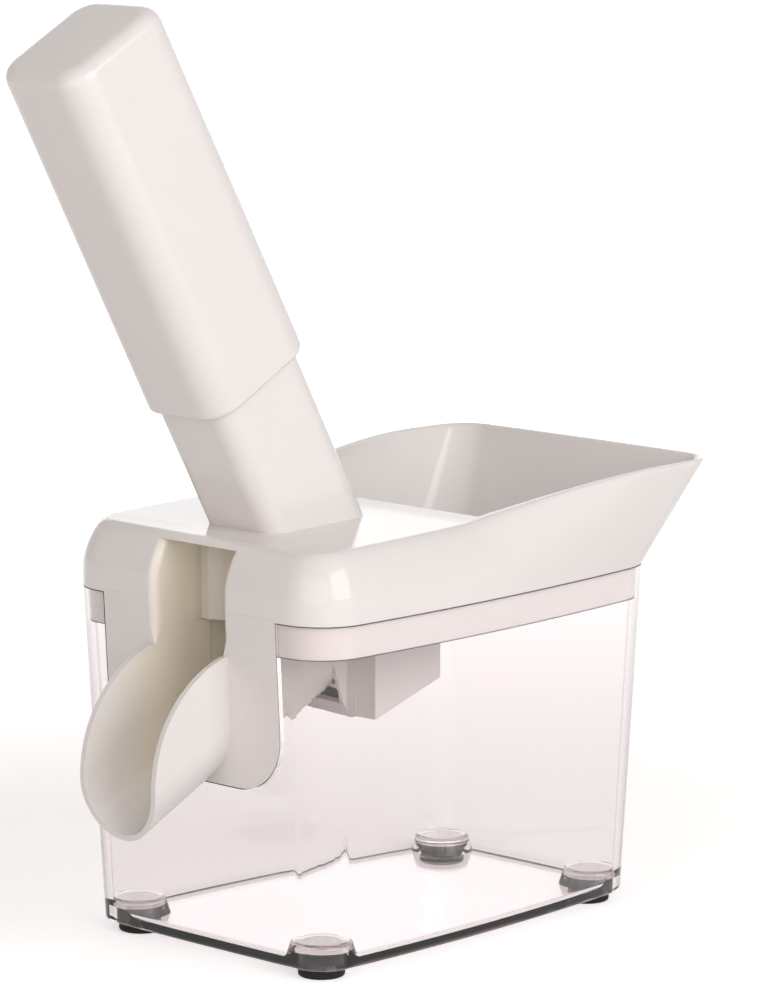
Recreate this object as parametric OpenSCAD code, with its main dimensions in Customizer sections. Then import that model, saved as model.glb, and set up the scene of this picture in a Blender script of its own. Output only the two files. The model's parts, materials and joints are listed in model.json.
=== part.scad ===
// Cherry pitter: a clear pit container, a lift-off head with hopper and chute, and a sprung push handle.
// Millimetres, +Z up, the chute towards -Y. Z = 0 is the table.
$fn = 64;

/* [Container] */
// Width across the middle of the rim
container_w = 110; // [104:1:130]
// Length along the rim
container_l = 158; // [154:1:180]
// Height of the rim above the table
rim_z = 107; // [104:1:120]
// Wall thickness
container_wall = 2.8; // [2.4:0.1:3.6]
// Wall thickness of the rebated rim band
rim_wall = 1.4; // [1:0.1:1.8]
// Height of the rim band
band_h = 10; // [6:1:14]
// Floor thickness
floor_t = 2.4; // [1.6:0.1:4]
// How far each wall draws in from rim to base
draft = 6; // [2:0.5:8]
// Corner radius in plan
corner_r = 15; // [11:1:20]
// Bow of the long sides
side_bow = 4; // [0:0.5:6]
// How much each long side closes in from the middle to the rear
side_taper = 4.5; // [0:0.5:6]
// Bow of the front and rear ends
end_bow = 1; // [0.25:0.25:3]
// Half-width of the front notch
notch_half_w = 37; // [28:1:40]
// Depth of the notch below the rim
notch_drop = 52; // [49:1:57]
// Radius of the notch's lower corners
notch_r = 18; // [8:1:22]

/* [Feet] */
// Height of the container's base above the table
base_z = 3.3; // [2:0.1:6]
// Radius of the rubber feet
foot_r = 7; // [5:0.25:8]
// Depth of each foot's shank in its boss
foot_shank_h = 4.7; // [3:0.1:6]
// Wall of the clear boss around the foot
boss_wall = 3.6; // [2:0.1:4]
// Distance from the base's edges to a foot's centre
foot_inset = 11; // [9:0.5:16]

/* [Head] */
// Height of the deck's rear edge above the rim
deck_rise = 23; // [21:1:29]
// How far the deck falls from its middle to its front edge
deck_fall = 2.4; // [1:0.1:3.5]
// Thickness of the deck at its front edge
deck_t = 2.2; // [1.6:0.1:3]
// Thickness of the head's walls
head_wall = 2.4; // [2:0.1:3]
// How far the deck's edge draws in from the rim's outline
deck_inset = 4.5; // [2:0.5:7]
// Distance of the deck's rear edge in front of the container's middle
deck_rear = 4; // [0:0.5:8]
// Height of the skirt's fillet above the rim
skirt_rise = 2.5; // [1.5:0.25:4]
// Thickness of the skirt inside the rim band
skirt_t = 1.6; // [1.2:0.1:2.2]

/* [Hopper] */
// Height of the hopper's rear rim above the deck
hopper_rise = 9; // [4:0.5:18]
// How far the hopper's sides flare past the container's widest half
hopper_side_flare = 3; // [0:0.5:8]
// How far the hopper's rear flares past the container's end
hopper_rear_flare = 19; // [8:1:28]
// Corner radius of the hopper's rim
hopper_r = 12; // [8:1:18]
// Length over which the side walls rise from the deck to the rim
rise_l = 63; // [40:1:66]

/* [Chute] */
// Inside width of the chute
chute_w = 29; // [27:0.5:32]
// Wall of the chute and the feed tray
tray_wall = 1.8; // [1.4:0.1:2.4]
// Slope of the chute inside the head
chute_slope = 21.6; // [18:0.2:24]
// Slope of the spout outside the head
spout_slope = 27; // [22:0.5:32]
// How far the spout's lip stands out from the container's front end
spout_reach = 28; // [20:0.5:34]
// Height of the spout's wall where it leaves the apron, above the notch's lower edge
spout_rise = 39.5; // [36:0.5:42]
// Height of the spout's lip, from its floor to the top of its upright edge
lip_h = 18; // [14:0.5:22]

/* [Seat] */
// Distance from the deck to the seat's face, along the needle
seat_drop = 51.5; // [49:0.5:57]
// Thickness of the rubber seat
seat_t = 4; // [3:0.25:5]
// Length of the rubber seat down the slope
seat_l = 31; // [29:0.5:33]
// Radius of the hole that the pit goes through
pit_hole_r = 4.5; // [3.5:0.25:5]
// Thickness of the frame that holds the seat
frame_t = 1.5; // [1:0.1:2]
// Depth of the pit housing's front edge below the seat plate
guide_drop = 1.75; // [0.5:0.25:6]
// Width of the pit housing
guide_w = 47; // [42:0.5:49]
// Distance of the pit housing's front face ahead of the middle of the seat's face
guide_ahead = 11.5; // [11:0.5:14]
// Length of the pit housing
guide_l = 28; // [27:0.5:30]
// Slope of the pit housing's lower edge
guide_slope = 18; // [14:0.5:24]

/* [Plunger] */
// Lean of the plunger towards the chute
tilt = 29; // [26:0.5:31]
// Where the plunger's axis meets the deck, in front of the container's middle
axis_front = 38; // [36:0.5:40]
// Travel of the handle
travel = 36; // [30:0.5:36]
// Width of the stem
stem_w = 32; // [30:0.5:34]
// Depth of the stem
stem_d = 36.5; // [34:0.5:38]
// Corner radius of the stem
stem_r = 6.5; // [3:0.5:9]
// Wall of the stem
stem_wall = 2; // [1.6:0.1:2.4]
// Length of stem that shows below the handle, along the axis
stem_show = 50.5; // [50:0.5:60]
// Thickness of the stem's flange and of the stripper's flange
flange_t = 2.5; // [2:0.1:3]

/* [Handle] */
// Length of the handle
handle_l = 118; // [114:1:130]
// Wall of the handle's sides
handle_side_wall = 1.9; // [1.6:0.1:3]
// Wall of the handle's front and rear
handle_face_wall = 3; // [2:0.1:4]
// Corner radius of the handle
handle_r = 9.5; // [7:0.5:12]
// Bow of the handle's front and rear faces
handle_bow = 0.4; // [0.2:0.1:1]
// Radius of the handle's top edge
handle_top_r = 5; // [2:0.5:7]
// How far each side of the handle draws in towards the top
handle_draft = 0.5; // [0:0.1:0.7]
// Thickness of the handle's top
handle_top_t = 3; // [2.4:0.1:4]

/* [Works] */
// Radius of the plunger rod
rod_r = 6; // [5:0.25:6.5]
// Radius of the needle
needle_r = 2.5; // [1.5:0.1:2.75]
// Wire radius of the return spring
wire_r = 0.8; // [0.5:0.05:1]
// Mean radius of the return spring
coil_r = 10; // [9.5:0.1:11]
// Turns of the return spring
coil_turns = 13; // [8:1:16]
// Shank radius of the head's screws
screw_r = 1.5; // [1:0.1:1.7]
// Head radius of the head's screws
screw_head_r = 2.8; // [2.4:0.1:3]

/* [Clearances] */
// Gap between the head's outer wall and the rim
seam_gap = 0.3; // [0.2:0.05:0.5]
// Gap between the skirt and the rim band, and between the apron and the notch
skirt_gap = 0.3; // [0.2:0.05:0.5]
// Gap under the skirt, on the rim band's ledge
ledge_gap = 0.2; // [0.1:0.05:0.4]
// Gap between the handle and the stem
slide_gap = 0.4; // [0.3:0.05:0.6]
// Running clearance of the rod in its bush
run_gap = 0.05; // [0.02:0.01:0.09]
// Gap between pieces that are fixed together
fit_gap = 0.1; // [0.05:0.05:0.2]

/* [Hidden] */

// Colours
clear_plastic = [0.86, 0.84, 0.84, 0.4];
white_plastic = [0.93, 0.91, 0.9];
charcoal_rubber = [0.2, 0.18, 0.18];
steel = [0.72, 0.73, 0.75];

// A length that carries a cut past the faces it goes through
past = 1;
// A length longer than the whole object
reach = 400;
// Half sizes of the container's rim
half_w = container_w / 2;
half_l = container_l / 2;
// Points along the outline: steps on half an end, on a corner and on a side
end_steps = 3;
corner_steps = 6;
side_steps = 12;

// Main heights above the table
notch_z = rim_z - notch_drop;
deck_z = rim_z + deck_rise;
hopper_z = deck_z + hopper_rise;

// Frame of the plunger
axis_y = -axis_front;
handle_z0 = stem_show;
handle_z1 = stem_show + handle_l;
handle_w = stem_w + 2 * (slide_gap + handle_side_wall);
handle_d = stem_d + 2 * (slide_gap + handle_face_wall);

// The origin is under the middle of the object's length, from the handle's top to the hopper's rear rim
front_end = axis_y - handle_z1 * sin(tilt) - (handle_d / 2 - handle_draft) * cos(tilt)
    + handle_top_r * (sin(tilt) + cos(tilt) - 1);
rear_end = half_l + hopper_rear_flare;
origin_y = (front_end + rear_end) / 2;

// Heights in the head
head_z = rim_z + seam_gap;
deck_under = deck_z - deck_fall - deck_t;
band_z = rim_z - band_h;
skirt_z = band_z + ledge_gap;
skirt_depth = rim_wall + skirt_gap;
rise_lead = 6;
rise_start = -deck_rear - rise_lead;
hopper_bow = 1.5;
hopper_taper = 1.5;

// The screws that hold the stem and the stripper to the deck
pillar_h = 6;
pillar_r = 3.5;
pillar_gap = 1.5;
pillar_x = stem_w / 2 + pillar_r + pillar_gap;
pillar_span = 18;
flange_z1 = deck_under - pillar_h;
flange_z0 = flange_z1 - flange_t;
plate_z0 = flange_z0 - fit_gap - flange_t;
screw_head_h = 2;
screw_bite = 4.5;
flange_y = axis_y + (deck_z - flange_z0) * tan(tilt);
flange_margin = 2.2;
flange_half_l = stem_d / 2 / cos(tilt) + flange_margin;
flange_edge = 0.5;
flange_half_w = pillar_x + pillar_r + flange_edge;

// Plunger stations along the axis, measured from the deck
stem_top_gap = 1.5;
stem_top = handle_z1 - handle_top_t - travel - stem_top_gap;
bush_z = 44;
bush_h = 10;
bush_ledge = 1;
rod_tail = 3.5;
rod_z0 = bush_z - rod_tail;
rod_top_gap = 5;
rod_z1 = handle_z1 - handle_top_t - rod_top_gap;
rod_boss_l = 17;
rod_boss_wall = 3;
rod_boss_r = rod_r + rod_boss_wall;
cap_t = 2;
cap_z1 = handle_z1 - handle_top_t - rod_boss_l - fit_gap;
cap_z0 = cap_z1 - cap_t;
spring_z0 = bush_z + bush_h + fit_gap;
spring_z1 = cap_z0 - fit_gap;
cap_margin = 1;
clip_t = 1.2;
clip_gap = 0.3;
clip_z0 = bush_z + fit_gap - clip_gap - clip_t;
clip_groove = 1;
clip_stand = 2;
clip_r = rod_r + clip_stand;
holder_h = 10;
holder_z0 = rod_z0 - fit_gap - holder_h;
holder_step = 0.5;
holder_r = rod_r - holder_step;
bay_l = 28;
stripper_drop = seat_drop - bay_l;
stripper_r = 9;
stripper_floor = 2;
needle_tip = -stripper_drop + stripper_floor / 2;
needle_grip = 6;
needle_top = rod_z0 + needle_grip;
blade_half_t = 0.75;
blade_l = 6;
rod_pin_r = 1.25;
rod_pin_z = (cap_z1 + rod_z1) / 2;

// Chute and tray
trough_r = chute_w / 2;
cheek_x = trough_r + tray_wall;
plate_drop = seat_drop + seat_t;
plate_t = 2.5;
seat_margin = 2;
plate_half_l = seat_l / 2 + seat_margin;
seat_y = axis_y + seat_drop * sin(tilt);
seat_z = deck_z - seat_drop * cos(tilt);
chute_top_y = seat_y - seat_l / 2 * cos(tilt);
chute_top_z = seat_z - seat_l / 2 * sin(tilt);
chute_setback = 6.5;
chute_front = -half_l + chute_setback;
cheek_gap = 1.5;
cheek_top = plate_z0 - screw_head_h - cheek_gap;
throat_gap = 1.2;
throat_y = flange_y - flange_half_l - throat_gap;
spout_gap = 0.6;
spout_root = chute_front - spout_gap;
spout_lip = -half_l - spout_reach;
chute_lip = 1;
spout_floor_root = chute_top_z - (chute_top_y - chute_front) * tan(chute_slope);
function chute_line(y) = spout_floor_root + (y - chute_front) * tan(chute_slope);
throat_front = -half_l + draft * (rim_z - notch_z) / (rim_z - base_z);
throat_z = chute_line(throat_front) + (trough_r + chute_lip) / cos(chute_slope) + skirt_gap;
tray_rim_t = 2;
tray_rim_z = head_z + skirt_rise + fit_gap + tray_rim_t;
tray_depth = skirt_depth + skirt_t + skirt_gap;
plate_gap = 0.8;
tray_front = axis_y + plate_drop * sin(tilt) + plate_half_l * cos(tilt) + plate_gap;
tray_bar_l = 8;
tray_step = 1;
tray_floor_z = seat_z + plate_half_l * sin(tilt) + tray_step;
tray_ear_x = flange_half_w + pillar_r + pillar_gap;
tray_ear_lead = 3;
tray_ear_y = -deck_rear - tray_ear_lead;
tray_ear_r = 5;
tray_ear_t = 3;
tray_ear_rise = 1;
tray_ear_z1 = tray_rim_z + tray_ear_rise;
curtain_z0 = tray_ear_z1 + skirt_gap;
guide_front = seat_y - guide_ahead;
guide_plane = plate_drop + plate_t + guide_drop;
guide_z = deck_z + ((guide_front - axis_y) * sin(tilt) - guide_plane) / cos(tilt);
gusset_l = 8;
seat_w = chute_w - 4 * fit_gap;
dish_margin = 5.8;
window_margin = 3.6;
plate_hole_margin = 1;
seat_screw_inset = [3.4, 4.2];
seat_screw_x = trough_r - seat_screw_inset.x;
seat_screw_y = seat_l / 2 - seat_screw_inset.y;
seat_screw_r = 1;
seat_screw_head_r = 1.9;
seat_screw_head_h = 1.2;
seat_screw_bite = 2;
seat_screw_l = frame_t + seat_t + seat_screw_bite;

// Outline of half the plan: from the front end's middle, round the right side, to the rear end's middle
function bowed(p, hw, hl, bow, taper, ends) =
    let (u = p.y / hl)
    [p.x * (1 - (bow * u * u + taper * u) / hw), p.y * (1 - ends / hl * pow(p.x / hw, 2))];

function corner(middle, r, from) = [
    for (i = [0 : corner_steps])
        let (a = from + 90 * i / corner_steps)
        middle + r * [cos(a), sin(a)]
];
function half_outline(hw, hl, r, bow, taper, ends) = [
    for (p = concat(
        [for (i = [0 : end_steps - 1]) [(hw - r) * i / end_steps, -hl]],
        corner([hw - r, -hl + r], r, -90),
        [for (i = [1 : side_steps - 1]) [hw, (hl - r) * (2 * i / side_steps - 1)]],
        corner([hw - r, hl - r], r, 0),
        [for (i = [1 : end_steps]) [(hw - r) * (1 - i / end_steps), hl]]
    )) bowed(p, hw, hl, bow, taper, ends)
];

// The same outline moved inwards by d
function flipped(p) = [-p.x, p.y];
function drawn_in(h, d) =
    let (last = len(h) - 1)
    [for (i = [0 : last])
        let (
            before = i == 0 ? flipped(h[1]) : h[i - 1],
            after = i == last ? flipped(h[last - 1]) : h[i + 1],
            along = [after.x - before.x, after.y - before.y]
        )
        [h[i].x, h[i].y] - d * [along.y, -along.x] / norm(along)
    ];

// A closed ring of points from half an outline and one height for each of its points
function ring(h, z) = concat(
    [for (i = [0 : len(h) - 1]) [h[i].x, h[i].y, z[i]]],
    [for (i = [len(h) - 2 : -1 : 1]) [-h[i].x, h[i].y, z[i]]]
);
function level(h, z) = ring(h, [for (p = h) z]);

// A solid through rings of points, closed by strips from side to side
module loft(rings) {
    n = len(rings[0]);
    m = n / 2;
    last = (len(rings) - 1) * n;
    points = [for (r = rings) each r];
    sides = [
        for (k = [0 : len(rings) - 2], i = [0 : n - 1])
            let (a = k * n + i, b = k * n + (i + 1) % n)
            each [[a, a + n, b + n], [a, b + n, b]]
    ];
    strips = [
        for (i = [0 : m - 1])
            let (a = i, b = i + 1, c = (n - i - 1) % n, d = (n - i) % n)
            each concat(b == c ? [] : [[a, b, c]], a == d ? [] : [[a, c, d]])
    ];
    top = [for (f = strips) [for (i = [2 : -1 : 0]) last + f[i]]];
    polyhedron(points, concat(sides, strips, top));
}

// Container wall: its outline at a height, drawn in by depth
rim_half = half_outline(half_w, half_l, corner_r, side_bow, side_taper, end_bow);
function wall_ring(z, depth) = level(drawn_in(rim_half, draft * (rim_z - z) / (rim_z - base_z) + depth), z);

// Head wall: outline at a share k of its height, drawn in by depth, and lifted by extra
deck_half = drawn_in(rim_half, deck_inset);
hopper_shift = hopper_rear_flare / 2;
hopper_half_w = half_w + hopper_side_flare;
hopper_half_l = half_l + hopper_shift;
hopper_half = [
    for (p = half_outline(hopper_half_w, hopper_half_l, hopper_r, hopper_bow, hopper_taper, end_bow))
        [p.x, p.y + hopper_shift]
];
rise_power = 0.75;
shoulder_power = 3;
wall_shares = [0, 0.25, 0.5, 0.65, 0.78, 0.88, 0.95, 1];
function rise(y) =
    let (t = min(1, max(0, (y - rise_start) / rise_l)))
    (1 - cos(180 * pow(t, rise_power))) / 2;
function head_ring(k, depth, extra) =
    let (
        shares = [for (p = rim_half) rise(p.y)],
        outline = [
            for (i = [0 : len(rim_half) - 1])
                let (
                    s = shares[i],
                    edge = deck_half[i] * (1 - s) + hopper_half[i] * s,
                    k_here = pow(k, shoulder_power) * (1 - s) + k * s
                )
                rim_half[i] * (1 - k_here) + edge * k_here
        ],
        heights = [
            for (i = [0 : len(rim_half) - 1])
                let (
                    fall = deck_fall * min(0, rim_half[i].y / half_l),
                    edge_z = deck_z + fall + (hopper_z - deck_z) * shares[i]
                )
                head_z + (edge_z - head_z) * k + extra
        ]
    )
    ring(drawn_in(outline, depth), heights);

// Frames
module in_place() {
    translate([0, -origin_y, 0]) children();
}
module along_plunger() {
    translate([0, axis_y, deck_z]) rotate([tilt, 0, 0]) children();
}
module at_pillars() {
    for (x = [-pillar_x, pillar_x], y = [-pillar_span, pillar_span]) {
        translate([x, flange_y + y, 0]) children();
    }
}
module at_seat_screws() {
    for (x = [-seat_screw_x, seat_screw_x], y = [-seat_screw_y, seat_screw_y]) {
        translate([x, y, 0]) children();
    }
}

// Plain shapes
module rounded(w, d, r) {
    square([w - 2 * r, d], center = true);
    square([w, d - 2 * r], center = true);
    for (x = [-1, 1], y = [-1, 1]) {
        translate([x * (w / 2 - r), y * (d / 2 - r)]) circle(r);
    }
}
module tube(h, outer, inner) {
    difference() {
        cylinder(h = h, r = outer);
        translate([0, 0, -past]) cylinder(h = h + 2 * past, r = inner);
    }
}
module screw(length, r, head_r, head_h) {
    translate([0, 0, -head_h]) cylinder(h = head_h, r = head_r);
    cylinder(h = length, r = r);
}

// The notch's outline in X and Z, drawn in by gap
module notch_outline(gap) {
    w = notch_half_w - gap;
    r = notch_r - gap;
    top = rim_z + past - notch_z;
    translate([0, notch_z]) {
        translate([-w, notch_r]) square([2 * w, top - notch_r]);
        translate([-w + r, gap]) square([2 * (w - r), notch_r]);
        for (x = [-1, 1]) {
            translate([x * (w - r), notch_r]) circle(r);
        }
    }
}
module notch_block(gap) {
    translate([0, -half_l / 2, 0]) rotate([90, 0, 0]) linear_extrude(half_l) notch_outline(gap);
}

// A channel with a round floor, its floor line through the origin, running down towards -Y
module trough(slope, r, up, length) {
    rotate([90 + slope, 0, 0]) translate([0, r, -length / 2]) linear_extrude(length) {
        difference() {
            circle(r);
            translate([-r, 0]) square([2 * r, r]);
        }
        translate([-r, 0]) square([2 * r, up]);
    }
}
module side_view(outline, half_thickness) {
    rotate([90, 0, 90]) translate([0, 0, -half_thickness]) {
        linear_extrude(2 * half_thickness) polygon(outline);
    }
}

// Feet and their bosses
foot_y = half_l - draft - foot_inset;
function foot_x(end) =
    let (u = end * foot_y / half_l)
    half_w - side_bow * u * u - side_taper * u - draft - foot_inset;
boss_r = foot_r + boss_wall;
boss_taper = 2;
boss_top_t = 3;
boss_h = foot_shank_h + boss_top_t;
module at_foot(side, end) {
    translate([side * foot_x(end), end * foot_y, 0]) children();
}
module each_foot() {
    for (side = [-1, 1], end = [-1, 1]) {
        at_foot(side, end) children();
    }
}

module pit_container() {
    color(clear_plastic) in_place() difference() {
        union() {
            difference() {
                loft([wall_ring(base_z, 0), wall_ring(rim_z, 0)]);
                loft([
                    wall_ring(base_z + floor_t, container_wall),
                    wall_ring(rim_z + past, container_wall)
                ]);
                loft([wall_ring(band_z, rim_wall), wall_ring(rim_z + past, rim_wall)]);
                notch_block(0);
            }
            each_foot() translate([0, 0, base_z]) {
                cylinder(h = boss_h, r1 = boss_r, r2 = boss_r - boss_taper);
            }
        }
        each_foot() translate([0, 0, base_z - past]) {
            cylinder(h = foot_shank_h + past + fit_gap, r = foot_r + fit_gap);
        }
    }
}

module rubber_foot(side, end) {
    color(charcoal_rubber) in_place() at_foot(side, end) difference() {
        cylinder(h = base_z + foot_shank_h, r = foot_r);
        translate([0, 0, base_z]) cylinder(h = foot_shank_h + past, r = foot_r / 2);
    }
}

// Head: outer skin less the space inside, with skirt, apron and screw pillars
module head_space() {
    inside = concat(
        [head_ring(0, head_wall, -past)],
        [for (k = wall_shares) head_ring(k, head_wall, 0)],
        [head_ring(1, head_wall, 2 * (deck_t + deck_fall))]
    );
    intersection() {
        loft(inside);
        difference() {
            union() {
                translate([-reach / 2, -reach / 2, 0]) cube([reach, reach, curtain_z0]);
                translate([-reach / 2, -deck_rear - reach, 0]) cube([reach, reach, deck_under]);
                translate([-reach / 2, -deck_rear + head_wall, 0]) cube([reach, reach, reach]);
                translate([-trough_r, -reach / 2, 0]) cube([chute_w, reach, deck_under]);
            }
            throat_walls(head_z, deck_z);
        }
    }
}

// The chute's upright walls behind the front opening
module throat_walls(z0, z1) {
    for (x = [-cheek_x, trough_r]) {
        translate([x, -half_l, z0]) cube([tray_wall, throat_y + half_l, z1 - z0]);
    }
}
module lower_throat_walls() {
    difference() {
        side_view([
            [throat_front, throat_z],
            [throat_front, head_z + skirt_rise],
            [throat_y, head_z + skirt_rise],
            [throat_y, throat_z + (throat_y - throat_front) * tan(chute_slope)],
        ], cheek_x);
        translate([-trough_r, -reach / 2, 0]) cube([chute_w, reach, reach]);
    }
}
module skirt() {
    difference() {
        loft([wall_ring(skirt_z, skirt_depth), wall_ring(head_z + skirt_rise, skirt_depth)]);
        loft([
            wall_ring(skirt_z - past, skirt_depth + skirt_t),
            wall_ring(head_z + skirt_rise + past, skirt_depth + skirt_t)
        ]);
    }
}
module apron() {
    intersection() {
        difference() {
            loft([wall_ring(base_z, 0), wall_ring(rim_z + past, 0)]);
            loft([wall_ring(base_z - past, head_wall), wall_ring(rim_z + 2 * past, head_wall)]);
        }
        notch_block(skirt_gap);
    }
}
module front_opening() {
    opening_z = notch_z + spout_rise - past;
    translate([-chute_w / 2, -half_l - past, opening_z]) {
        cube([chute_w, half_l / 4, deck_under - opening_z]);
    }
    intersection() {
        translate([0, chute_front, spout_floor_root - tray_wall - fit_gap / cos(spout_slope)]) {
            trough(spout_slope, cheek_x + fit_gap, half_l, half_l / 2);
        }
        translate([-half_w, -half_l - past, 0]) {
            cube([container_w, spout_root + fit_gap + half_l + past, notch_z + spout_rise + fit_gap]);
        }
    }
}
module head_shell() {
    color(white_plastic) in_place() difference() {
        union() {
            difference() {
                loft([for (k = wall_shares) head_ring(k, 0, 0)]);
                head_space();
            }
            skirt();
            apron();
            lower_throat_walls();
            at_pillars() translate([0, 0, flange_z1 + fit_gap]) {
                cylinder(h = deck_under - flange_z1, r = pillar_r);
            }
            for (x = [-tray_ear_x, tray_ear_x]) {
                translate([x, tray_ear_y, tray_ear_z1 + fit_gap]) {
                    cylinder(h = deck_under - tray_ear_z1, r = pillar_r);
                }
            }
        }
        front_opening();
        along_plunger() translate([0, 0, -stem_d]) linear_extrude(2 * stem_d) {
            rounded(stem_w + 2 * fit_gap, stem_d + 2 * fit_gap, stem_r + fit_gap);
        }
        at_pillars() translate([0, 0, flange_z1 - past]) {
            cylinder(h = past + screw_bite + fit_gap, r = screw_r + fit_gap);
        }
        for (x = [-tray_ear_x, tray_ear_x]) {
            translate([x, tray_ear_y, tray_ear_z1 - past]) {
                cylinder(h = past + screw_bite + 2 * fit_gap, r = screw_r + fit_gap);
            }
        }
    }
}

// Spout: a round-floored channel cut to its lip
function bezier(a, b, c, d, t) =
    a * pow(1 - t, 3) + 3 * b * t * pow(1 - t, 2) + 3 * c * t * t * (1 - t) + d * pow(t, 3);
lip_steps = 12;
// Shares of the spout's reach and drop by which its side curve is pulled at its start and at its end
start_pull = [0.46, 0.1];
end_pull = [0.14, 0.58];
// Share of the lip's height by which the lip leans back
lip_lean = 0.17;
module spout() {
    top_z = notch_z + spout_rise;
    floor_z = spout_floor_root - (chute_front - spout_lip) * tan(spout_slope);
    lip_z = floor_z + lip_h;
    start = [-half_l, top_z];
    end = [spout_lip, lip_z];
    drop = top_z - lip_z;
    after_start = start - [spout_reach * start_pull.x, drop * start_pull.y];
    before_end = end + [spout_reach * end_pull.x, drop * end_pull.y];
    curve = [for (i = [0 : lip_steps]) bezier(start, after_start, before_end, end, i / lip_steps)];
    under_z = floor_z - 2 * tray_wall;
    outline = concat(
        [[spout_root, top_z]],
        curve,
        [[spout_lip + lip_h * lip_lean, under_z], [spout_root, under_z]]
    );
    color(white_plastic) in_place() intersection() {
        translate([0, chute_front, spout_floor_root]) difference() {
            translate([0, 0, -tray_wall]) trough(spout_slope, cheek_x, half_l, 2 * half_l);
            trough(spout_slope, trough_r, half_l + past, 2 * half_l + 2 * past);
        }
        side_view(outline, half_w);
    }
}

// Feed tray: hopper funnel, cheeks, chute, seat plate and pit housing in one moulding
module tray_outline(depth) {
    polygon([for (p = level(drawn_in(rim_half, tray_depth + depth), 0)) [p.x, p.y]]);
}
module tray_flange() {
    stand_out = head_wall + 2 * fit_gap - tray_depth;
    translate([0, 0, tray_rim_z - tray_rim_t]) linear_extrude(tray_rim_t) intersection() {
        difference() {
            tray_outline(stand_out);
            tray_outline(tray_wall / 2);
        }
        translate([-reach / 2, -deck_rear]) square([reach, reach]);
    }
}
module funnel_block(depth, lift, bar_half_w, bar_front) {
    hull() {
        translate([0, 0, tray_rim_z - tray_rim_t + lift]) linear_extrude(tray_rim_t) intersection() {
            tray_outline(depth);
            translate([-reach / 2, depth - deck_rear]) square([reach, reach]);
        }
        translate([-bar_half_w, bar_front, tray_floor_z - tray_wall + lift]) {
            cube([2 * bar_half_w, tray_front + tray_bar_l - bar_front, tray_wall]);
        }
    }
}
module cheek_outline() {
    under = (plate_t + tray_wall) / cos(tilt);
    cheek_front = throat_y + fit_gap;
    lip_rise = (trough_r + chute_lip / 2) / cos(chute_slope);
    side_view([
        [cheek_front, chute_line(cheek_front) + lip_rise],
        [cheek_front, cheek_top],
        [tray_front + tray_wall, cheek_top],
        [tray_front + tray_wall, tray_floor_z - tray_wall],
        [tray_front, tray_floor_z - tray_wall],
        [chute_top_y, chute_top_z - under],
        [chute_top_y - gusset_l, chute_line(chute_top_y - gusset_l) + lip_rise],
    ], cheek_x);
}
// Housing round the seat: walls beside the chute and below it, with the widened seat plate between them
module housing_block(inset) {
    translate([-guide_w / 2 + inset, guide_front + inset, 0]) {
        cube([guide_w - 2 * inset, guide_l - 2 * inset, cheek_top]);
    }
}
module above_seat(drop) {
    along_plunger() translate([-reach / 2, -reach / 2, -plate_drop - drop]) cube(reach);
}
module pit_guide() {
    intersection() {
        difference() {
            housing_block(0);
            difference() {
                translate([0, 0, past]) housing_block(tray_wall);
                difference() {
                    above_seat(plate_t);
                    above_seat(0);
                }
            }
            intersection() {
                translate([-trough_r, -half_l, 0]) cube([chute_w, 2 * half_l, reach]);
                above_seat(0);
            }
        }
        side_view([
            [guide_front, guide_z],
            [guide_front + guide_l, guide_z + guide_l * tan(guide_slope)],
            [guide_front + guide_l, cheek_top],
            [guide_front, cheek_top],
        ], half_w);
    }
}
module feed_tray() {
    chute_l = chute_top_y - frame_t * sin(tilt) - fit_gap - chute_front;
    color(white_plastic) in_place() difference() {
        union() {
            difference() {
                funnel_block(0, 0, cheek_x, tray_front);
                funnel_block(tray_wall, tray_wall, trough_r, tray_front + tray_wall);
            }
            tray_flange();
            difference() {
                cheek_outline();
                translate([-trough_r, -reach / 2, 0]) cube([chute_w, reach, reach]);
            }
            intersection() {
                translate([0, chute_front, spout_floor_root]) difference() {
                    translate([0, 0, -tray_wall]) trough(chute_slope, cheek_x, chute_lip, 2 * half_l);
                    trough(chute_slope, trough_r, reach, 2 * half_l + 2 * past);
                }
                translate([-half_w, chute_front, 0]) cube([container_w, chute_l, rim_z]);
            }
            along_plunger() translate([-cheek_x, -plate_half_l, -plate_drop - plate_t]) {
                cube([2 * cheek_x, 2 * plate_half_l, plate_t]);
            }
            pit_guide();
            for (x = [-tray_ear_x, tray_ear_x]) {
                translate([x, tray_ear_y, tray_ear_z1 - tray_ear_t]) {
                    cylinder(h = tray_ear_t, r = tray_ear_r);
                    translate([-tray_ear_r, 0, 0]) {
                        cube([2 * tray_ear_r, tray_wall - tray_ear_y, tray_ear_t]);
                    }
                }
            }
        }
        translate([-trough_r, -half_l / 2, tray_floor_z]) {
            cube([chute_w, half_l / 2 + tray_front + tray_bar_l / 2, reach]);
        }
        along_plunger() translate([0, 0, -plate_drop - plate_t - past]) {
            cylinder(h = plate_t + 2 * past, r = pit_hole_r + plate_hole_margin);
        }
        along_plunger() at_seat_screws() translate([0, 0, -plate_drop - plate_t - past]) {
            cylinder(h = plate_t + 2 * past, r = seat_screw_r + fit_gap);
        }
        for (x = [-tray_ear_x, tray_ear_x]) {
            translate([x, tray_ear_y, tray_ear_z1 - tray_ear_t - past]) {
                cylinder(h = tray_ear_t + 2 * past, r = screw_r + fit_gap);
            }
        }
    }
}

module tray_screws() {
    color(steel) in_place() for (x = [-tray_ear_x, tray_ear_x]) {
        translate([x, tray_ear_y, tray_ear_z1 - tray_ear_t]) {
            screw(tray_ear_t + screw_bite, screw_r, screw_head_r, screw_head_h);
        }
    }
}

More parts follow.
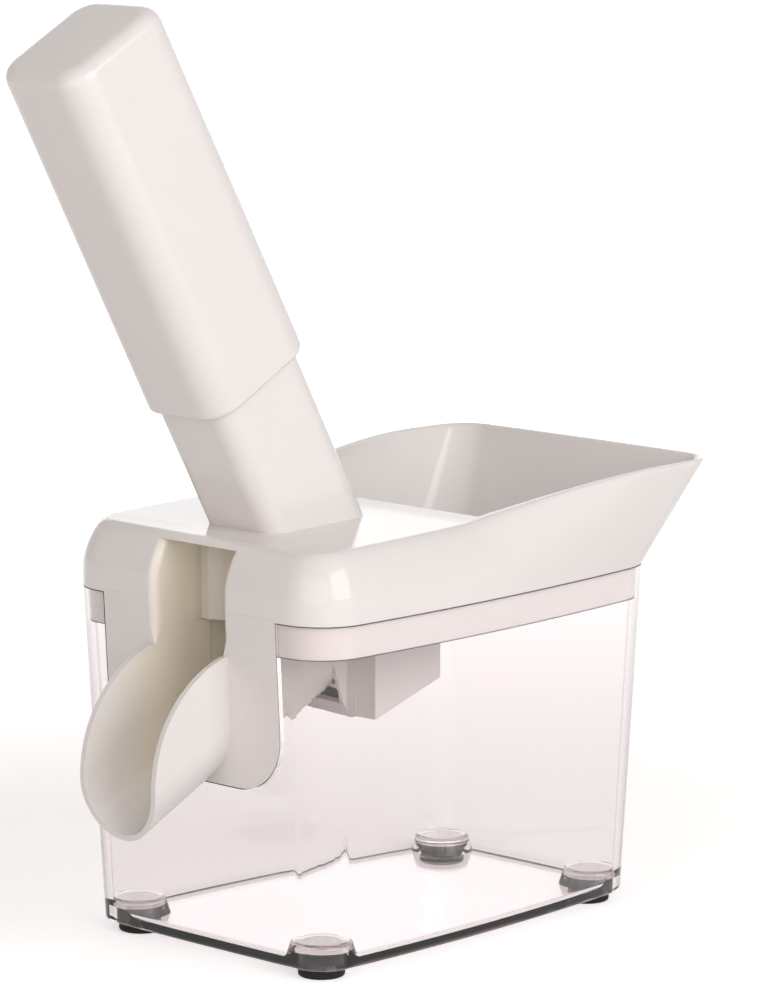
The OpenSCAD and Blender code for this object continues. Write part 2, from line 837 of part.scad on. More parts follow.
module cherry_seat() {
    color(charcoal_rubber) in_place() along_plunger() translate([0, 0, -plate_drop]) difference() {
        linear_extrude(seat_t) difference() {
            square([seat_w, seat_l], center = true);
            at_seat_screws() circle(seat_screw_r + fit_gap);
        }
        translate([0, 0, -past]) cylinder(h = seat_t + 2 * past, r = pit_hole_r);
        translate([0, 0, seat_t / 2]) {
            cylinder(h = seat_t / 2 + fit_gap, r1 = pit_hole_r, r2 = trough_r - dish_margin);
        }
    }
}

module seat_frame() {
    color(white_plastic) in_place() along_plunger() translate([0, 0, -seat_drop]) linear_extrude(frame_t) {
        difference() {
            square([seat_w, seat_l], center = true);
            circle(trough_r - window_margin);
            at_seat_screws() circle(seat_screw_r + fit_gap);
        }
    }
}

module seat_screws() {
    color(steel) in_place() along_plunger() at_seat_screws() {
        translate([0, 0, frame_t - seat_drop]) rotate([180, 0, 0]) {
            screw(seat_screw_l, seat_screw_r, seat_screw_head_r, seat_screw_head_h);
        }
    }
}

// Stem, its flange, and the stripper below it
module stem_column(w, d, r, z0, z1) {
    along_plunger() translate([0, 0, z0]) linear_extrude(z1 - z0) rounded(w, d, r);
}
module flange_plate(z0) {
    translate([-flange_half_w, flange_y - flange_half_l, z0]) {
        cube([2 * flange_half_w, 2 * flange_half_l, flange_t]);
    }
}
module guide_stem() {
    bore_w = stem_w - 2 * stem_wall;
    bore_d = stem_d - 2 * stem_wall;
    bore_r = stem_r - stem_wall;
    throat_w = bore_w - 2 * bush_ledge;
    throat_d = bore_d - 2 * bush_ledge;
    color(white_plastic) in_place() difference() {
        union() {
            intersection() {
                stem_column(stem_w, stem_d, stem_r, -stem_show, stem_top);
                translate([-reach / 2, -reach / 2, flange_z0]) cube([reach, reach, reach]);
            }
            flange_plate(flange_z0);
        }
        stem_column(bore_w, bore_d, bore_r, bush_z, stem_top + past);
        stem_column(throat_w, throat_d, bore_r - bush_ledge, -stem_show, bush_z + past);
        at_pillars() translate([0, 0, flange_z0 - past]) {
            cylinder(h = flange_t + 2 * past, r = screw_r + fit_gap);
        }
    }
}
module stripper() {
    color(white_plastic) in_place() difference() {
        union() {
            flange_plate(plate_z0);
            intersection() {
                along_plunger() translate([0, 0, -stripper_drop]) {
                    cylinder(h = stripper_drop, r = stripper_r);
                }
                translate([-reach / 2, -reach / 2, 0]) cube([reach, reach, plate_z0 + flange_t / 2]);
            }
        }
        along_plunger() translate([0, 0, -stripper_drop + stripper_floor]) {
            cylinder(h = stripper_drop, r = stripper_r - tray_wall);
        }
        along_plunger() translate([0, 0, -stripper_drop - past]) {
            cylinder(h = stripper_drop, r = needle_r + slide_gap);
        }
        at_pillars() translate([0, 0, plate_z0 - past]) {
            cylinder(h = flange_t + 2 * past, r = screw_r + fit_gap);
        }
    }
}
module stem_screws() {
    color(steel) in_place() at_pillars() translate([0, 0, plate_z0]) {
        screw(flange_z1 - plate_z0 + screw_bite, screw_r, screw_head_r, screw_head_h);
    }
}
module guide_bush() {
    w = stem_w - 2 * stem_wall - 2 * fit_gap;
    d = stem_d - 2 * stem_wall - 2 * fit_gap;
    color(white_plastic) in_place() along_plunger() translate([0, 0, bush_z + fit_gap]) difference() {
        linear_extrude(bush_h - fit_gap) rounded(w, d, stem_r - stem_wall - fit_gap);
        translate([0, 0, -past]) cylinder(h = bush_h + 2 * past, r = rod_r + run_gap);
    }
}

// Handle: a tapered sleeve with a rounded top, and the boss that holds the rod
arc_steps = 6;
handle_half = half_outline(handle_w / 2, handle_d / 2, handle_r, 0, 0, handle_bow);
function handle_ring(z, inset) = level(drawn_in(handle_half, inset), z);
module handle_skin() {
    top_rings = [
        for (i = [0 : arc_steps])
            let (a = 90 * i / arc_steps)
            handle_ring(
                handle_z1 - handle_top_r * (1 - sin(a)),
                handle_draft + handle_top_r * (1 - cos(a))
            )
    ];
    loft(concat([handle_ring(handle_z0, 0)], top_rings));
}
module handle_sleeve() {
    color(white_plastic) in_place() along_plunger() difference() {
        union() {
            difference() {
                handle_skin();
                translate([0, 0, handle_z0 - past]) linear_extrude(handle_l - handle_top_t + past) {
                    rounded(stem_w + 2 * slide_gap, stem_d + 2 * slide_gap, stem_r + slide_gap);
                }
            }
            translate([0, 0, cap_z1 + fit_gap]) cylinder(h = rod_boss_l + handle_top_t / 2, r = rod_boss_r);
        }
        translate([0, 0, cap_z1 - past]) {
            cylinder(h = rod_z1 - cap_z1 + past + fit_gap, r = rod_r + fit_gap);
        }
        translate([-rod_boss_r - past, 0, rod_pin_z]) rotate([0, 90, 0]) {
            cylinder(h = 2 * (rod_boss_r + past), r = rod_pin_r + fit_gap);
        }
    }
}

module plunger_rod() {
    color(steel) in_place() along_plunger() difference() {
        translate([0, 0, rod_z0]) cylinder(h = rod_z1 - rod_z0, r = rod_r);
        translate([0, 0, rod_z0 - past]) {
            cylinder(h = needle_grip + past + fit_gap, r = needle_r + fit_gap);
        }
        translate([0, 0, clip_z0 - fit_gap]) {
            tube(clip_t + 2 * fit_gap, rod_r + past, rod_r - clip_groove);
        }
        translate([-rod_boss_r, 0, rod_pin_z]) rotate([0, 90, 0]) {
            cylinder(h = 2 * rod_boss_r, r = rod_pin_r + fit_gap);
        }
    }
}
module rod_pin() {
    color(steel) in_place() along_plunger() translate([-rod_boss_r, 0, rod_pin_z]) rotate([0, 90, 0]) {
        cylinder(h = 2 * rod_boss_r, r = rod_pin_r);
    }
}
module spring_cap() {
    color(steel) in_place() along_plunger() translate([0, 0, cap_z0]) {
        tube(cap_t, coil_r + wire_r + cap_margin, rod_r + fit_gap);
    }
}

// Return spring: one wire swept along a helix, with its least gap measured between turns
wire_sides = 6;
curl_steps = 8;
spring_steps = coil_turns * curl_steps;
spring_pitch = (spring_z1 - spring_z0 - 2 * wire_r) / coil_turns;
echo(spring_least_gap = spring_pitch * cos(atan(spring_pitch / (2 * PI * coil_r))) - 2 * wire_r);
function wire_ring(i) =
    let (
        a = 360 * i / curl_steps,
        lean = atan(spring_pitch / (2 * PI * coil_r)),
        z = spring_z0 + wire_r + spring_pitch * i / curl_steps,
        out = [cos(a), sin(a), 0],
        up = [sin(a) * sin(lean), -cos(a) * sin(lean), cos(lean)]
    )
    [for (j = [0 : wire_sides - 1])
        let (b = 360 * j / wire_sides)
        out * coil_r + [0, 0, z] + wire_r * (cos(b) * out + sin(b) * up)];
module return_spring() {
    n = wire_sides;
    points = [for (i = [0 : spring_steps]) each wire_ring(i)];
    sides = [
        for (i = [0 : spring_steps - 1], j = [0 : n - 1])
            let (a = i * n + j, b = i * n + (j + 1) % n)
            each [[a, b, b + n], [a, b + n, a + n]]
    ];
    first = [for (j = [1 : n - 2]) [0, j + 1, j]];
    end = spring_steps * n;
    last = [for (j = [1 : n - 2]) [end, end + j, end + j + 1]];
    color(steel) in_place() along_plunger() polyhedron(points, concat(sides, first, last));
}

module stop_clip() {
    slot_half = rod_r - 2 * clip_groove;
    color(steel) in_place() along_plunger() translate([0, 0, clip_z0]) difference() {
        tube(clip_t, clip_r, rod_r - clip_groove + fit_gap);
        translate([-slot_half, 0, -past]) cube([2 * slot_half, clip_r + past, clip_t + 2 * past]);
    }
}
module needle_holder() {
    color(steel) in_place() along_plunger() translate([0, 0, holder_z0]) difference() {
        cylinder(h = holder_h, r = holder_r);
        translate([0, 0, -past]) cylinder(h = holder_h + 2 * past, r = needle_r + fit_gap);
        translate([needle_r, 0, holder_h / 2]) rotate([0, 90, 0]) {
            cylinder(h = holder_r, r = screw_r + fit_gap);
        }
    }
}
module needle() {
    color(steel) in_place() along_plunger() difference() {
        translate([0, 0, needle_tip]) cylinder(h = needle_top - needle_tip, r = needle_r);
        for (turn = [0 : 90 : 270]) {
            rotate([0, 0, turn]) translate([blade_half_t, blade_half_t, needle_tip - past]) {
                cube([needle_r, needle_r, blade_l + past]);
            }
        }
    }
}
module needle_set_screw() {
    color(steel) in_place() along_plunger() translate([needle_r + fit_gap, 0, holder_z0 + holder_h / 2]) {
        rotate([0, 90, 0]) cylinder(h = holder_r - needle_r, r = screw_r);
    }
}

pit_container();
rubber_foot(-1, -1);  // foot_front_left
rubber_foot(1, -1);  // foot_front_right
rubber_foot(-1, 1);  // foot_rear_left
rubber_foot(1, 1);  // foot_rear_right
head_shell();
spout();
feed_tray();
tray_screws();
cherry_seat();
seat_frame();
seat_screws();
guide_stem();
stripper();
stem_screws();
guide_bush();
handle_sleeve();
plunger_rod();
rod_pin();
spring_cap();
return_spring();
stop_clip();
needle_holder();
needle();
needle_set_screw();
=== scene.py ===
"""Cherry pitter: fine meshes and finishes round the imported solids.

A clear pit container on rubber feet, a white head with hopper, chute opening and spout, and a push handle on a
slanting stem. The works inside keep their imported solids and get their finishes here.
"""

import json
import math

import bmesh
import bpy
import numpy as np
from bpy.props import FloatProperty, FloatVectorProperty, IntProperty, PointerProperty
from mathutils import Matrix, Vector


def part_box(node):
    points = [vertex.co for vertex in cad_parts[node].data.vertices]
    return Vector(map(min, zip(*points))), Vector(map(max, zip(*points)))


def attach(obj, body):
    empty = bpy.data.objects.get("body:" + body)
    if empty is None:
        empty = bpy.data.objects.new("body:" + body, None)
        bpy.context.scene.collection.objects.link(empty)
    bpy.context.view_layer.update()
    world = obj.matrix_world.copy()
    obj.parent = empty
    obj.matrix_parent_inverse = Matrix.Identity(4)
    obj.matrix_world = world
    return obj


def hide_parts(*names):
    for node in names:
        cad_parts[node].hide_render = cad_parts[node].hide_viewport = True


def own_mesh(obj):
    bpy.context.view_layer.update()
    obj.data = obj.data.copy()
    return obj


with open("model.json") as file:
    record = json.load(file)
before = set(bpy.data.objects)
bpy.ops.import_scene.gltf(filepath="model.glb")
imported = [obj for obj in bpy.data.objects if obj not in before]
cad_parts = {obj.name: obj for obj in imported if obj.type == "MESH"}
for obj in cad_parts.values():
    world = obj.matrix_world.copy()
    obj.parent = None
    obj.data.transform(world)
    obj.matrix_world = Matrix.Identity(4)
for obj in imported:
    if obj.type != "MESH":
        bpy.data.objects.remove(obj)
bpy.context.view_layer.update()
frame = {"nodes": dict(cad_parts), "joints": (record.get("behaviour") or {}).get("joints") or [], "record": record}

bl_info = {
    "name": "Cherry pitter",
    "version": (1, 0, 0),
    "blender": (4, 5, 0),
    "location": "View3D > Sidebar > Pitter",
    "description": "Builds the pitter's pieces and finishes round the packed frame",
    "category": "Add Mesh",
}

MM = 0.001
# Length that carries a cut past the faces it goes through
PAST = 1 * MM
# Length longer than the whole object
REACH = 0.4

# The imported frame: its box, the container's place and heights, and the plunger's lean
CONTAINER_LOW, CONTAINER_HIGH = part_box("pit_container")
PLAN_Y = (CONTAINER_LOW.y + CONTAINER_HIGH.y) / 2
HALF_L = (CONTAINER_HIGH.y - CONTAINER_LOW.y) / 2
BASE_Z = CONTAINER_LOW.z
RIM_Z = CONTAINER_HIGH.z
PLUNGER_AXIS = Vector(next(j["axis"] for j in frame["joints"] if j["name"] == "handle_press"))
TILT = math.atan2(-PLUNGER_AXIS.y, PLUNGER_AXIS.z)

# Steps along half an end, round a corner and along a side of an outline
PLAN_STEPS = (14, 20, 56)
HANDLE_STEPS = (8, 12, 10)


def length(name, description, size):
    """A length that a user may change, its default given in millimetres."""
    return FloatProperty(
        name=name, description=description, default=size * MM, min=0, unit="LENGTH", precision=4
    )


def reaches(name, description, sizes):
    """Two lengths that a user may change, their defaults given in millimetres."""
    near, far = sizes
    return FloatVectorProperty(
        name=name, description=description, default=(near * MM, far * MM), size=2, unit="LENGTH", precision=4
    )


def angle(name, description, degrees):
    """An angle that a user may change, its default given in degrees."""
    return FloatProperty(name=name, description=description, default=math.radians(degrees), unit="ROTATION")


def share(name, description, default):
    """A share from 0 to 1 that a user may change."""
    return FloatProperty(name=name, description=description, default=default, min=0, max=1, subtype="FACTOR")


def power(name, description, watts):
    """A lamp's power that a user may change."""
    return FloatProperty(name=name, description=description, default=watts, unit="POWER")


def colour(name, description, default):
    """A colour that a user may change, in linear values."""
    return FloatVectorProperty(
        name=name, description=description, default=default, size=3, min=0, max=1, subtype="COLOR"
    )


class ContainerSizes(bpy.types.PropertyGroup):
    """Sizes of the clear pit container and its feet."""

    half_w: length("Half width", "Half the width across the middle of the rim", 55)
    corner_r: length("Corner radius", "Radius of the corners in plan", 15)
    side_bow: length("Side bow", "Bow of the long sides", 4)
    side_taper: length("Side taper", "How much each long side closes in from the middle to the rear", 4.5)
    end_bow: length("End bow", "Bow of the front and rear ends", 1)
    draft: length("Draft", "How far each wall draws in from rim to base", 6)
    wall: length("Wall", "Thickness of the wall", 2.8)
    rim_wall: length("Rim wall", "Thickness of the rebated rim band", 1.4)
    band_h: length("Rim band", "Height of the rim band", 10)
    floor_t: length("Floor", "Thickness of the floor", 2.4)
    base_round: length("Base rounding", "Radius of the outer edge of the base", 1.6)
    floor_round: length("Floor fillet", "Radius of the fillet between floor and wall", 2.5)
    notch_half_w: length("Notch half width", "Half the width of the notch in the front wall", 37)
    notch_drop: length("Notch depth", "Depth of the notch below the rim", 52)
    notch_r: length("Notch radius", "Radius of the notch's lower corners", 18)
    foot_r: length("Foot radius", "Radius of the rubber feet", 7)
    foot_shank: length("Foot shank", "Depth of each foot's shank in its boss", 4.7)
    foot_inset: length("Foot inset", "Distance from the base's edges to a foot's centre", 11)
    foot_round: length("Foot rounding", "Radius of a foot's lower edge", 0.9)
    foot_dish: length("Foot dish", "Depth of the dish in a foot's sole", 0.3)
    boss_wall: length("Boss wall", "Wall of the clear boss round a foot", 3.6)
    boss_taper: length("Boss taper", "How much the boss narrows to its top", 2)
    boss_top: length("Boss top", "Thickness of the boss over the foot's shank", 3)
    boss_round: length("Boss rounding", "Radius of the boss's upper edge", 1.4)


class HeadSizes(bpy.types.PropertyGroup):
    """Sizes of the head: deck, hopper, skirt, apron and chute opening."""

    deck_rise: length("Deck rise", "Height of the deck's rear edge above the rim", 23)
    deck_fall: length("Deck fall", "How far the deck falls from its middle to its front edge", 2.4)
    deck_t: length("Deck", "Thickness of the deck at its front edge", 2.2)
    deck_rear: length("Deck rear", "Distance of the deck's rear edge in front of the middle", 4)
    wall: length("Wall", "Thickness of the walls", 2.4)
    shoulder_w: length("Shoulder width", "How far the rounded shoulder reaches in from the rim's outline", 8)
    shoulder_h: length("Shoulder height", "How far down from the deck the shoulder starts", 13)
    hopper_rise: length("Hopper rise", "Height of the hopper's rear rim above the deck", 9)
    side_flare: length("Side flare", "How far the hopper's sides flare past the container", 3)
    rear_flare: length("Rear flare", "How far the hopper's rear flares past the container", 19)
    hopper_r: length("Hopper radius", "Corner radius of the hopper's rim", 12)
    rise_l: length("Rise", "Length over which the side walls rise from the deck to the rim", 63)
    rim_round: length("Rim rounding", "Radius of the hopper rim's edges", 1.05)
    skirt_rise: length("Skirt fillet", "Height of the skirt's fillet above the rim", 2.5)
    skirt_t: length("Skirt", "Thickness of the skirt inside the rim band", 1.6)
    seam: length("Seam", "Gap between the head and the container", 0.3)
    fit: length("Fit", "Gap between pieces that are fixed together", 0.1)
    chute_w: length("Chute width", "Inside width of the chute", 29)
    chute_wall: length("Chute wall", "Wall of the chute and the spout", 1.8)
    chute_slope: angle("Chute slope", "Slope of the chute inside the head", 21.6)
    chute_lip: length("Chute lip", "Height of the chute's upright lips above its round floor", 1)
    jamb_r: length("Jamb radius", "Radius of the chute opening's front edges", 3)
    throat: length("Throat", "Distance of the throat walls' rear ends in front of the middle", 55.05)
    panel_drop: length("Panel drop", "How far the panel over the chute hangs below the rim", 7.5)
    panel_t: length("Panel", "Thickness of the panel over the chute", 2)
    panel_r: length("Panel radius", "Radius of the panel's inner corners", 9)
    # Reaches of the painted warm bounce light and of the painted shade in the chute's deep part
    warm_light_rear: reaches("Warm rear", "Where the warm white behind the chute's end fades out", (44, 56))
    shade_rear: reaches("Shade", "Where the chute's shade starts behind its end and where it is full", (9, 15))
    curtain_rise: length("Curtain", "Height of the deck's rear curtain above the rim", 6.2)
    drop_rise: length("Drop", "How far above the deck the rounding of its rear edge starts", 0.4)
    ledge: length("Ledge gap", "Gap under the skirt", 0.2)
    stem_lap: length("Stem lap", "How far the deck laps the stem", 0.6)
    hopper_bow: length("Hopper bow", "Bow and taper of the hopper's rim", 1.5)
    rise_lead: length("Rise lead", "How far before the deck's rear edge the side walls start to rise", 6)
    pillar_r: length("Pillar radius", "Radius of the screw pillars under the deck", 3.5)
    screw_bore_r: length("Screw bore", "Radius of the screws' holes", 1.6)
    screw_head_r: length("Screw head", "Radius of the screws' heads", 2.8)
    screw_bite: length("Screw bite", "Depth of a screw in its pillar", 4.5)


class SpoutSizes(bpy.types.PropertyGroup):
    """Sizes of the spout in front of the apron."""

    slope: angle("Slope", "Slope of the spout's floor", 27)
    root_y: length("Root", "Distance of the chute's front end in front of the middle", 72.5)
    root_z: length("Root height", "Height of the floor at the chute's front end", 59.26)
    reach: length("Reach", "How far the lip stands out from the container's front end", 28)
    rise: length("Rise", "Height of the wall at the apron above the notch's lower edge", 39.5)
    lip_h: length("Lip height", "Height of the lip above its floor", 18)
    rim_round: length("Rim rounding", "Radius of the rim's edges", 0.75)
    proud: length("Proud", "How far the inside stands proud of the chute's", 0.05)
    root_lap: length("Root lap", "How far the spout reaches into the chute", 1.5)
    lean: share("Lean", "Share of the lip's height by which it leans back", 0.17)
    # Where the painted warm bounce light fades out along the spout
    warm_light_front: reaches("Warm front", "Where the warm white fades out along the spout", (5, 26))


class HandleSizes(bpy.types.PropertyGroup):
    """Sizes of the push handle and of the stem that it slides on."""

    axis_front: length("Axis", "Where the plunger's axis meets the deck, in front of the middle", 38)
    stem_w: length("Stem width", "Width of the stem", 32)
    stem_d: length("Stem depth", "Depth of the stem", 36.5)
    stem_r: length("Stem radius", "Corner radius of the stem", 6.5)
    slide: length("Slide gap", "Gap between the handle and the stem", 0.4)
    side_wall: length("Side wall", "Wall of the handle's sides", 1.9)
    face_wall: length("Face wall", "Wall of the handle's front and rear", 3)
    low: length("Lower end", "Distance of the handle's lower end from the deck, along the axis", 50.5)
    long: length("Length", "Length of the handle", 118)
    corner_r: length("Corner radius", "Radius of the handle's upright corners", 9.5)
    bow: length("Bow", "Bow of the handle's front and rear faces", 0.4)
    draft: length("Draft", "How far each side draws in towards the top", 0.5)
    top_r: length("Top radius", "Radius of the handle's top edge", 5)
    top_t: length("Top", "Thickness of the handle's top", 3)
    crown: length("Crown", "How far the top's middle stands above its edge", 0.5)
    lip: length("Lip", "Height of the rounding of the handle's lower edge", 0.9)
    boss_r: length("Boss radius", "Radius of the boss that holds the rod", 9)
    boss_l: length("Boss length", "Length of the boss below the handle's top", 17)
    rod_r: length("Rod radius", "Radius of the plunger rod", 6)
    rod_gap: length("Rod gap", "Gap between the rod's end and the handle's top", 5)
    pin_r: length("Pin radius", "Radius of the cross pin in the rod", 1.25)
    coil_r: length("Coil radius", "Mean radius of the return spring", 10)
    wire_r: length("Wire radius", "Radius of the return spring's wire", 0.8)
    spring_low: length("Spring end", "Lower end of the return spring along the axis", 54.1)
    spring_high: length("Spring top", "Upper end of the return spring along the axis", 146.3)
    turns: IntProperty(name="Turns", description="Turns of the return spring", default=13, min=1)


class Finishes(bpy.types.PropertyGroup):
    """Colours of the finishes, with painted warm bounce light and painted shade inside the chute, and a painted
    shade on the notch's cut edge.
    """

    white: colour("White plastic", "Warm glossy white of the mouldings", (0.87, 0.835, 0.815))
    # The chute's warmer white is painted warm bounce light on the same white plastic, and its deep part takes a
    # painted shade
    inner: colour("Chute plastic", "Warmer white inside the chute", (0.93, 0.875, 0.765))
    inner_shade: share("Chute shade", "How light the chute's deep part is, against its front", 0.72)
    gloss: share("Gloss", "Roughness of the white plastic", 0.12)
    soft_edge: length("Soft edge", "Radius by which edges of the white plastic catch the light", 0.5)
    # Widths over which the painted warm bounce light fades out
    warm_light_blur: length("Warm blur", "Width over which the warm white fades out on the head's jambs", 2.8)
    warm_light_edge: length("Warm edge", "Width over which the warm white fades out on the spout's rim", 0.3)
    clear: colour("Clear plastic", "Tint that thick clear plastic takes on", (0.375, 0.22, 0.234))
    face: colour("Clear face", "Faint tint of the clear plastic's surfaces", (1, 0.978, 0.981))
    # Painted shade on the cut edge round the notch, for the dark that the clear plastic shows there
    edge: colour("Clear edge", "Tint of the cut edge round the container's notch", (0.16, 0.14, 0.14))
    rubber: colour("Rubber", "Charcoal of the feet and the seat", (0.018, 0.014, 0.014))
    steel: colour("Steel", "Stainless steel of the works", (0.62, 0.63, 0.65))
    floor: colour("Floor", "Pale floor", (0.9, 0.9, 0.9))


class StageSettings(bpy.types.PropertyGroup):
    """Camera and light."""

    camera_place: FloatVectorProperty(
        name="Camera", description="Place of the camera from the container's middle",
        default=(1.0551, -1.0645, 0.3746), size=3, subtype="TRANSLATION", unit="LENGTH",
    )
    camera_turn: angle("Camera turn", "Turn of the camera about the upright", 44.686)
    camera_dip: angle("Camera dip", "How far the camera looks down", 9.166)
    lens: FloatProperty(name="Lens", description="Focal length of the camera in millimetres", default=182.49)
    key_power: power("Key", "Power of the key light", 13.5)
    fill_power: power("Fill", "Power of the low front light", 7.5)
    rear_power: power("Rear", "Power of the rear light", 4)
    ambient: share("Ambient", "Level of the even light from all round", 0.3)
    ambient_tone: colour("Ambient tone", "Tone of the even light and the fill", (1, 0.93, 0.9))
    floor_lift: share("Floor lift", "How much of its own white the floor shows near the object", 0.52)
    floor_half: FloatProperty(name="Floor", description="Half the floor's width", default=4, unit="LENGTH")
    floor_fade: reaches("Floor fade", "Where the floor's own white starts to rise and is full", (150, 900))


# Outlines and meshes


def half_outline(half_w, half_l, r, bow, taper, ends, steps):
    """Half a plan outline, from the front end's middle round the right side to the rear end's middle."""
    end_n, corner_n, side_n = steps
    turn = np.linspace(0, math.pi / 2, corner_n + 1)
    front = np.column_stack([np.arange(end_n) / end_n * (half_w - r), np.full(end_n, -half_l)])
    near = np.column_stack([half_w - r + r * np.sin(turn), -half_l + r - r * np.cos(turn)])
    along = 2 * np.arange(1, side_n) / side_n - 1
    side = np.column_stack([np.full(side_n - 1, half_w), along * (half_l - r)])
    far = np.column_stack([half_w - r + r * np.cos(turn), half_l - r + r * np.sin(turn)])
    rear = front[::-1] * [1, -1]
    p = np.vstack([front, near, side, far, rear])
    u = p[:, 1] / half_l
    return np.column_stack([
        p[:, 0] * (1 - (bow * u * u + taper * u) / half_w),
        p[:, 1] * (1 - ends / half_l * (p[:, 0] / half_w) ** 2),
    ])


def drawn_in(half, depth):
    """The same half outline moved inwards by depth, which may differ from point to point."""
    before = np.vstack([half[1] * [-1, 1], half[:-1]])
    after = np.vstack([half[1:], half[-2] * [-1, 1]])
    along = after - before
    along /= np.linalg.norm(along, axis=1)[:, None]
    outwards = np.column_stack([along[:, 1], -along[:, 0]])
    return half - outwards * np.broadcast_to(depth, len(half))[:, None]


def ring(half, z):
    """A closed ring of points from half an outline and its heights."""
    right = np.column_stack([half, np.broadcast_to(z, len(half))])
    return np.vstack([right, right[-2:0:-1] * [-1, 1, 1]])


def loft(rings):
    """Vertices and faces of a solid through rings, closed by strips from side to side."""
    n = len(rings[0])
    m = n // 2
    last = (len(rings) - 1) * n
    faces = []
    for k in range(len(rings) - 1):
        for i in range(n):
            a, b = k * n + i, k * n + (i + 1) % n
            faces.append((a, b, b + n, a + n))
    for i in range(m):
        strip = list(dict.fromkeys((i, i + 1, n - i - 1, (n - i) % n)))
        faces.append(tuple(reversed(strip)))
        faces.append(tuple(last + v for v in strip))
    return np.vstack(rings), faces


def lathe(profile, steps):
    """Vertices and faces of a turned solid, from a profile of radii and heights with both ends on its axis."""
    turn = 2 * math.pi * np.arange(steps) / steps
    points, rows = [], []
    for r, z in profile:
        if r == 0:
            rows.append([len(points)] * steps)
            points.append((0, 0, z))
        else:
            rows.append(list(range(len(points), len(points) + steps)))
            points.extend((r * c, r * s, z) for c, s in zip(np.cos(turn), np.sin(turn)))
    faces = []
    for low, high in zip(rows, rows[1:]):
        for i in range(steps):
            j = (i + 1) % steps
            faces.append(tuple(dict.fromkeys((low[i], low[j], high[j], high[i]))))
    return np.array(points, float), faces


def extrude(outline, place, low, high):
    """Vertices and faces of a prism: place(a, b, w) puts an outline's point w along the prism."""
    n = len(outline)
    points = [place(a, b, w) for w in (low, high) for a, b in outline]
    faces = [(i, (i + 1) % n, n + (i + 1) % n, n + i) for i in range(n)]
    return np.array(points, float), faces + [tuple(range(n - 1, -1, -1)), tuple(range(n, 2 * n))]


def side_prism(outline, low, high):
    """A prism across the object from an outline in Y and Z."""
    return extrude(outline, lambda y, z, x: (x, y, z), low, high)


def front_prism(outline, low, high):
    """A prism along the object from an outline in X and Z."""
    return extrude(outline, lambda x, z, y: (x, y, z), high, low)


def block(low, high):
    """A rectangular block between two corners."""
    outline = [(low[1], low[2]), (high[1], low[2]), (high[1], high[2]), (low[1], high[2])]
    return side_prism(outline, low[0], high[0])


def post(x, y, low, high, r, steps=48):
    """An upright cylinder."""
    points, faces = lathe([(0, low), (r, low), (r, high), (0, high)], steps)
    return points + [x, y, 0], faces


def fillet(r, steps):
    """A quarter round as pairs of distances from its two flanks."""
    return [(r * (1 - math.cos(a)), r * (1 - math.sin(a))) for a in np.linspace(0, math.pi / 2, steps)]


def bezier(pulls, u):
    """A point of a cubic curve."""
    a, b, c, d = np.asarray(pulls, float)
    return a * (1 - u) ** 3 + b * 3 * u * (1 - u) ** 2 + c * 3 * u * u * (1 - u) + d * u ** 3


def trough(slope, r, up, half_length, origin):
    """A channel with a round floor, its floor line through origin, running down towards -Y."""
    turn = np.linspace(math.pi, 2 * math.pi, 65)
    outline = [(r * math.cos(a), r + r * math.sin(a)) for a in turn] + [(r, r + up), (-r, r + up)]
    s, c = math.sin(slope), math.cos(slope)

    def place(a, b, w):
        return origin[0] + a, origin[1] - b * s - w * c, origin[2] + b * c - w * s

    return extrude(outline, place, -half_length, half_length)


def rounded(w, d, r, steps=12):
    """Points of a rounded rectangle."""
    points = []
    for i, (x, y) in enumerate(((1, 1), (-1, 1), (-1, -1), (1, -1))):
        for k in range(steps + 1):
            a = math.pi / 2 * (i + k / steps)
            points.append((x * (w / 2 - r) + r * math.cos(a), y * (d / 2 - r) + r * math.sin(a)))
    return points


def new_piece(name, shape, place=None):
    """A mesh object from vertices and faces, with its normals outwards."""
    points, faces = shape
    mesh = bpy.data.meshes.new(name)
    mesh.from_pydata([tuple(p) for p in points], [], faces)
    if place is not None:
        mesh.transform(place)
    mesh.validate()
    mesh.update()
    piece = bpy.data.objects.new(name, mesh)
    bpy.context.scene.collection.objects.link(piece)
    return piece


def apply_step(piece, step):
    """Applies one modifier to a piece."""
    with bpy.context.temp_override(object=piece, active_object=piece, selected_objects=[piece]):
        bpy.ops.object.modifier_apply(modifier=step.name)


def carve(piece, shape, how="DIFFERENCE", place=None):
    """Cuts a shape from a piece, joins it on, or keeps what lies in both."""
    tool = shape if isinstance(shape, bpy.types.Object) else new_piece("tool", shape, place)
    step = piece.modifiers.new("carve", "BOOLEAN")
    step.object = tool
    step.operation = how
    step.solver = "MANIFOLD"
    apply_step(piece, step)
    bpy.data.meshes.remove(tool.data)
    if not piece.data.polygons:
        raise RuntimeError(f"{piece.name}: nothing is left after a cut")


def settle(piece, body, nodes, materials, smooth=math.radians(32)):
    """Puts a finished piece in its place: shading, materials, body and the nodes that it stands for."""
    piece.data.transform(Matrix.Translation((0, PLAN_Y, 0)))
    piece.data.polygons.foreach_set("use_smooth", [True] * len(piece.data.polygons))
    piece.data.set_sharp_from_angle(angle=smooth)
    step = piece.modifiers.new("normals", "WEIGHTED_NORMAL")
    step.keep_sharp = True
    apply_step(piece, step)
    piece.data.materials.clear()
    for material in materials:
        piece.data.materials.append(material)
    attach(piece, body)
    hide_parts(*nodes)


def plunger_frame(handle, head):
    """The frame of the plunger: Z along its axis, from the point where it meets the deck."""
    place = Matrix.Translation((0, -handle.axis_front, RIM_Z + head.deck_rise))
    return place @ Matrix.Rotation(TILT, 4, "X")


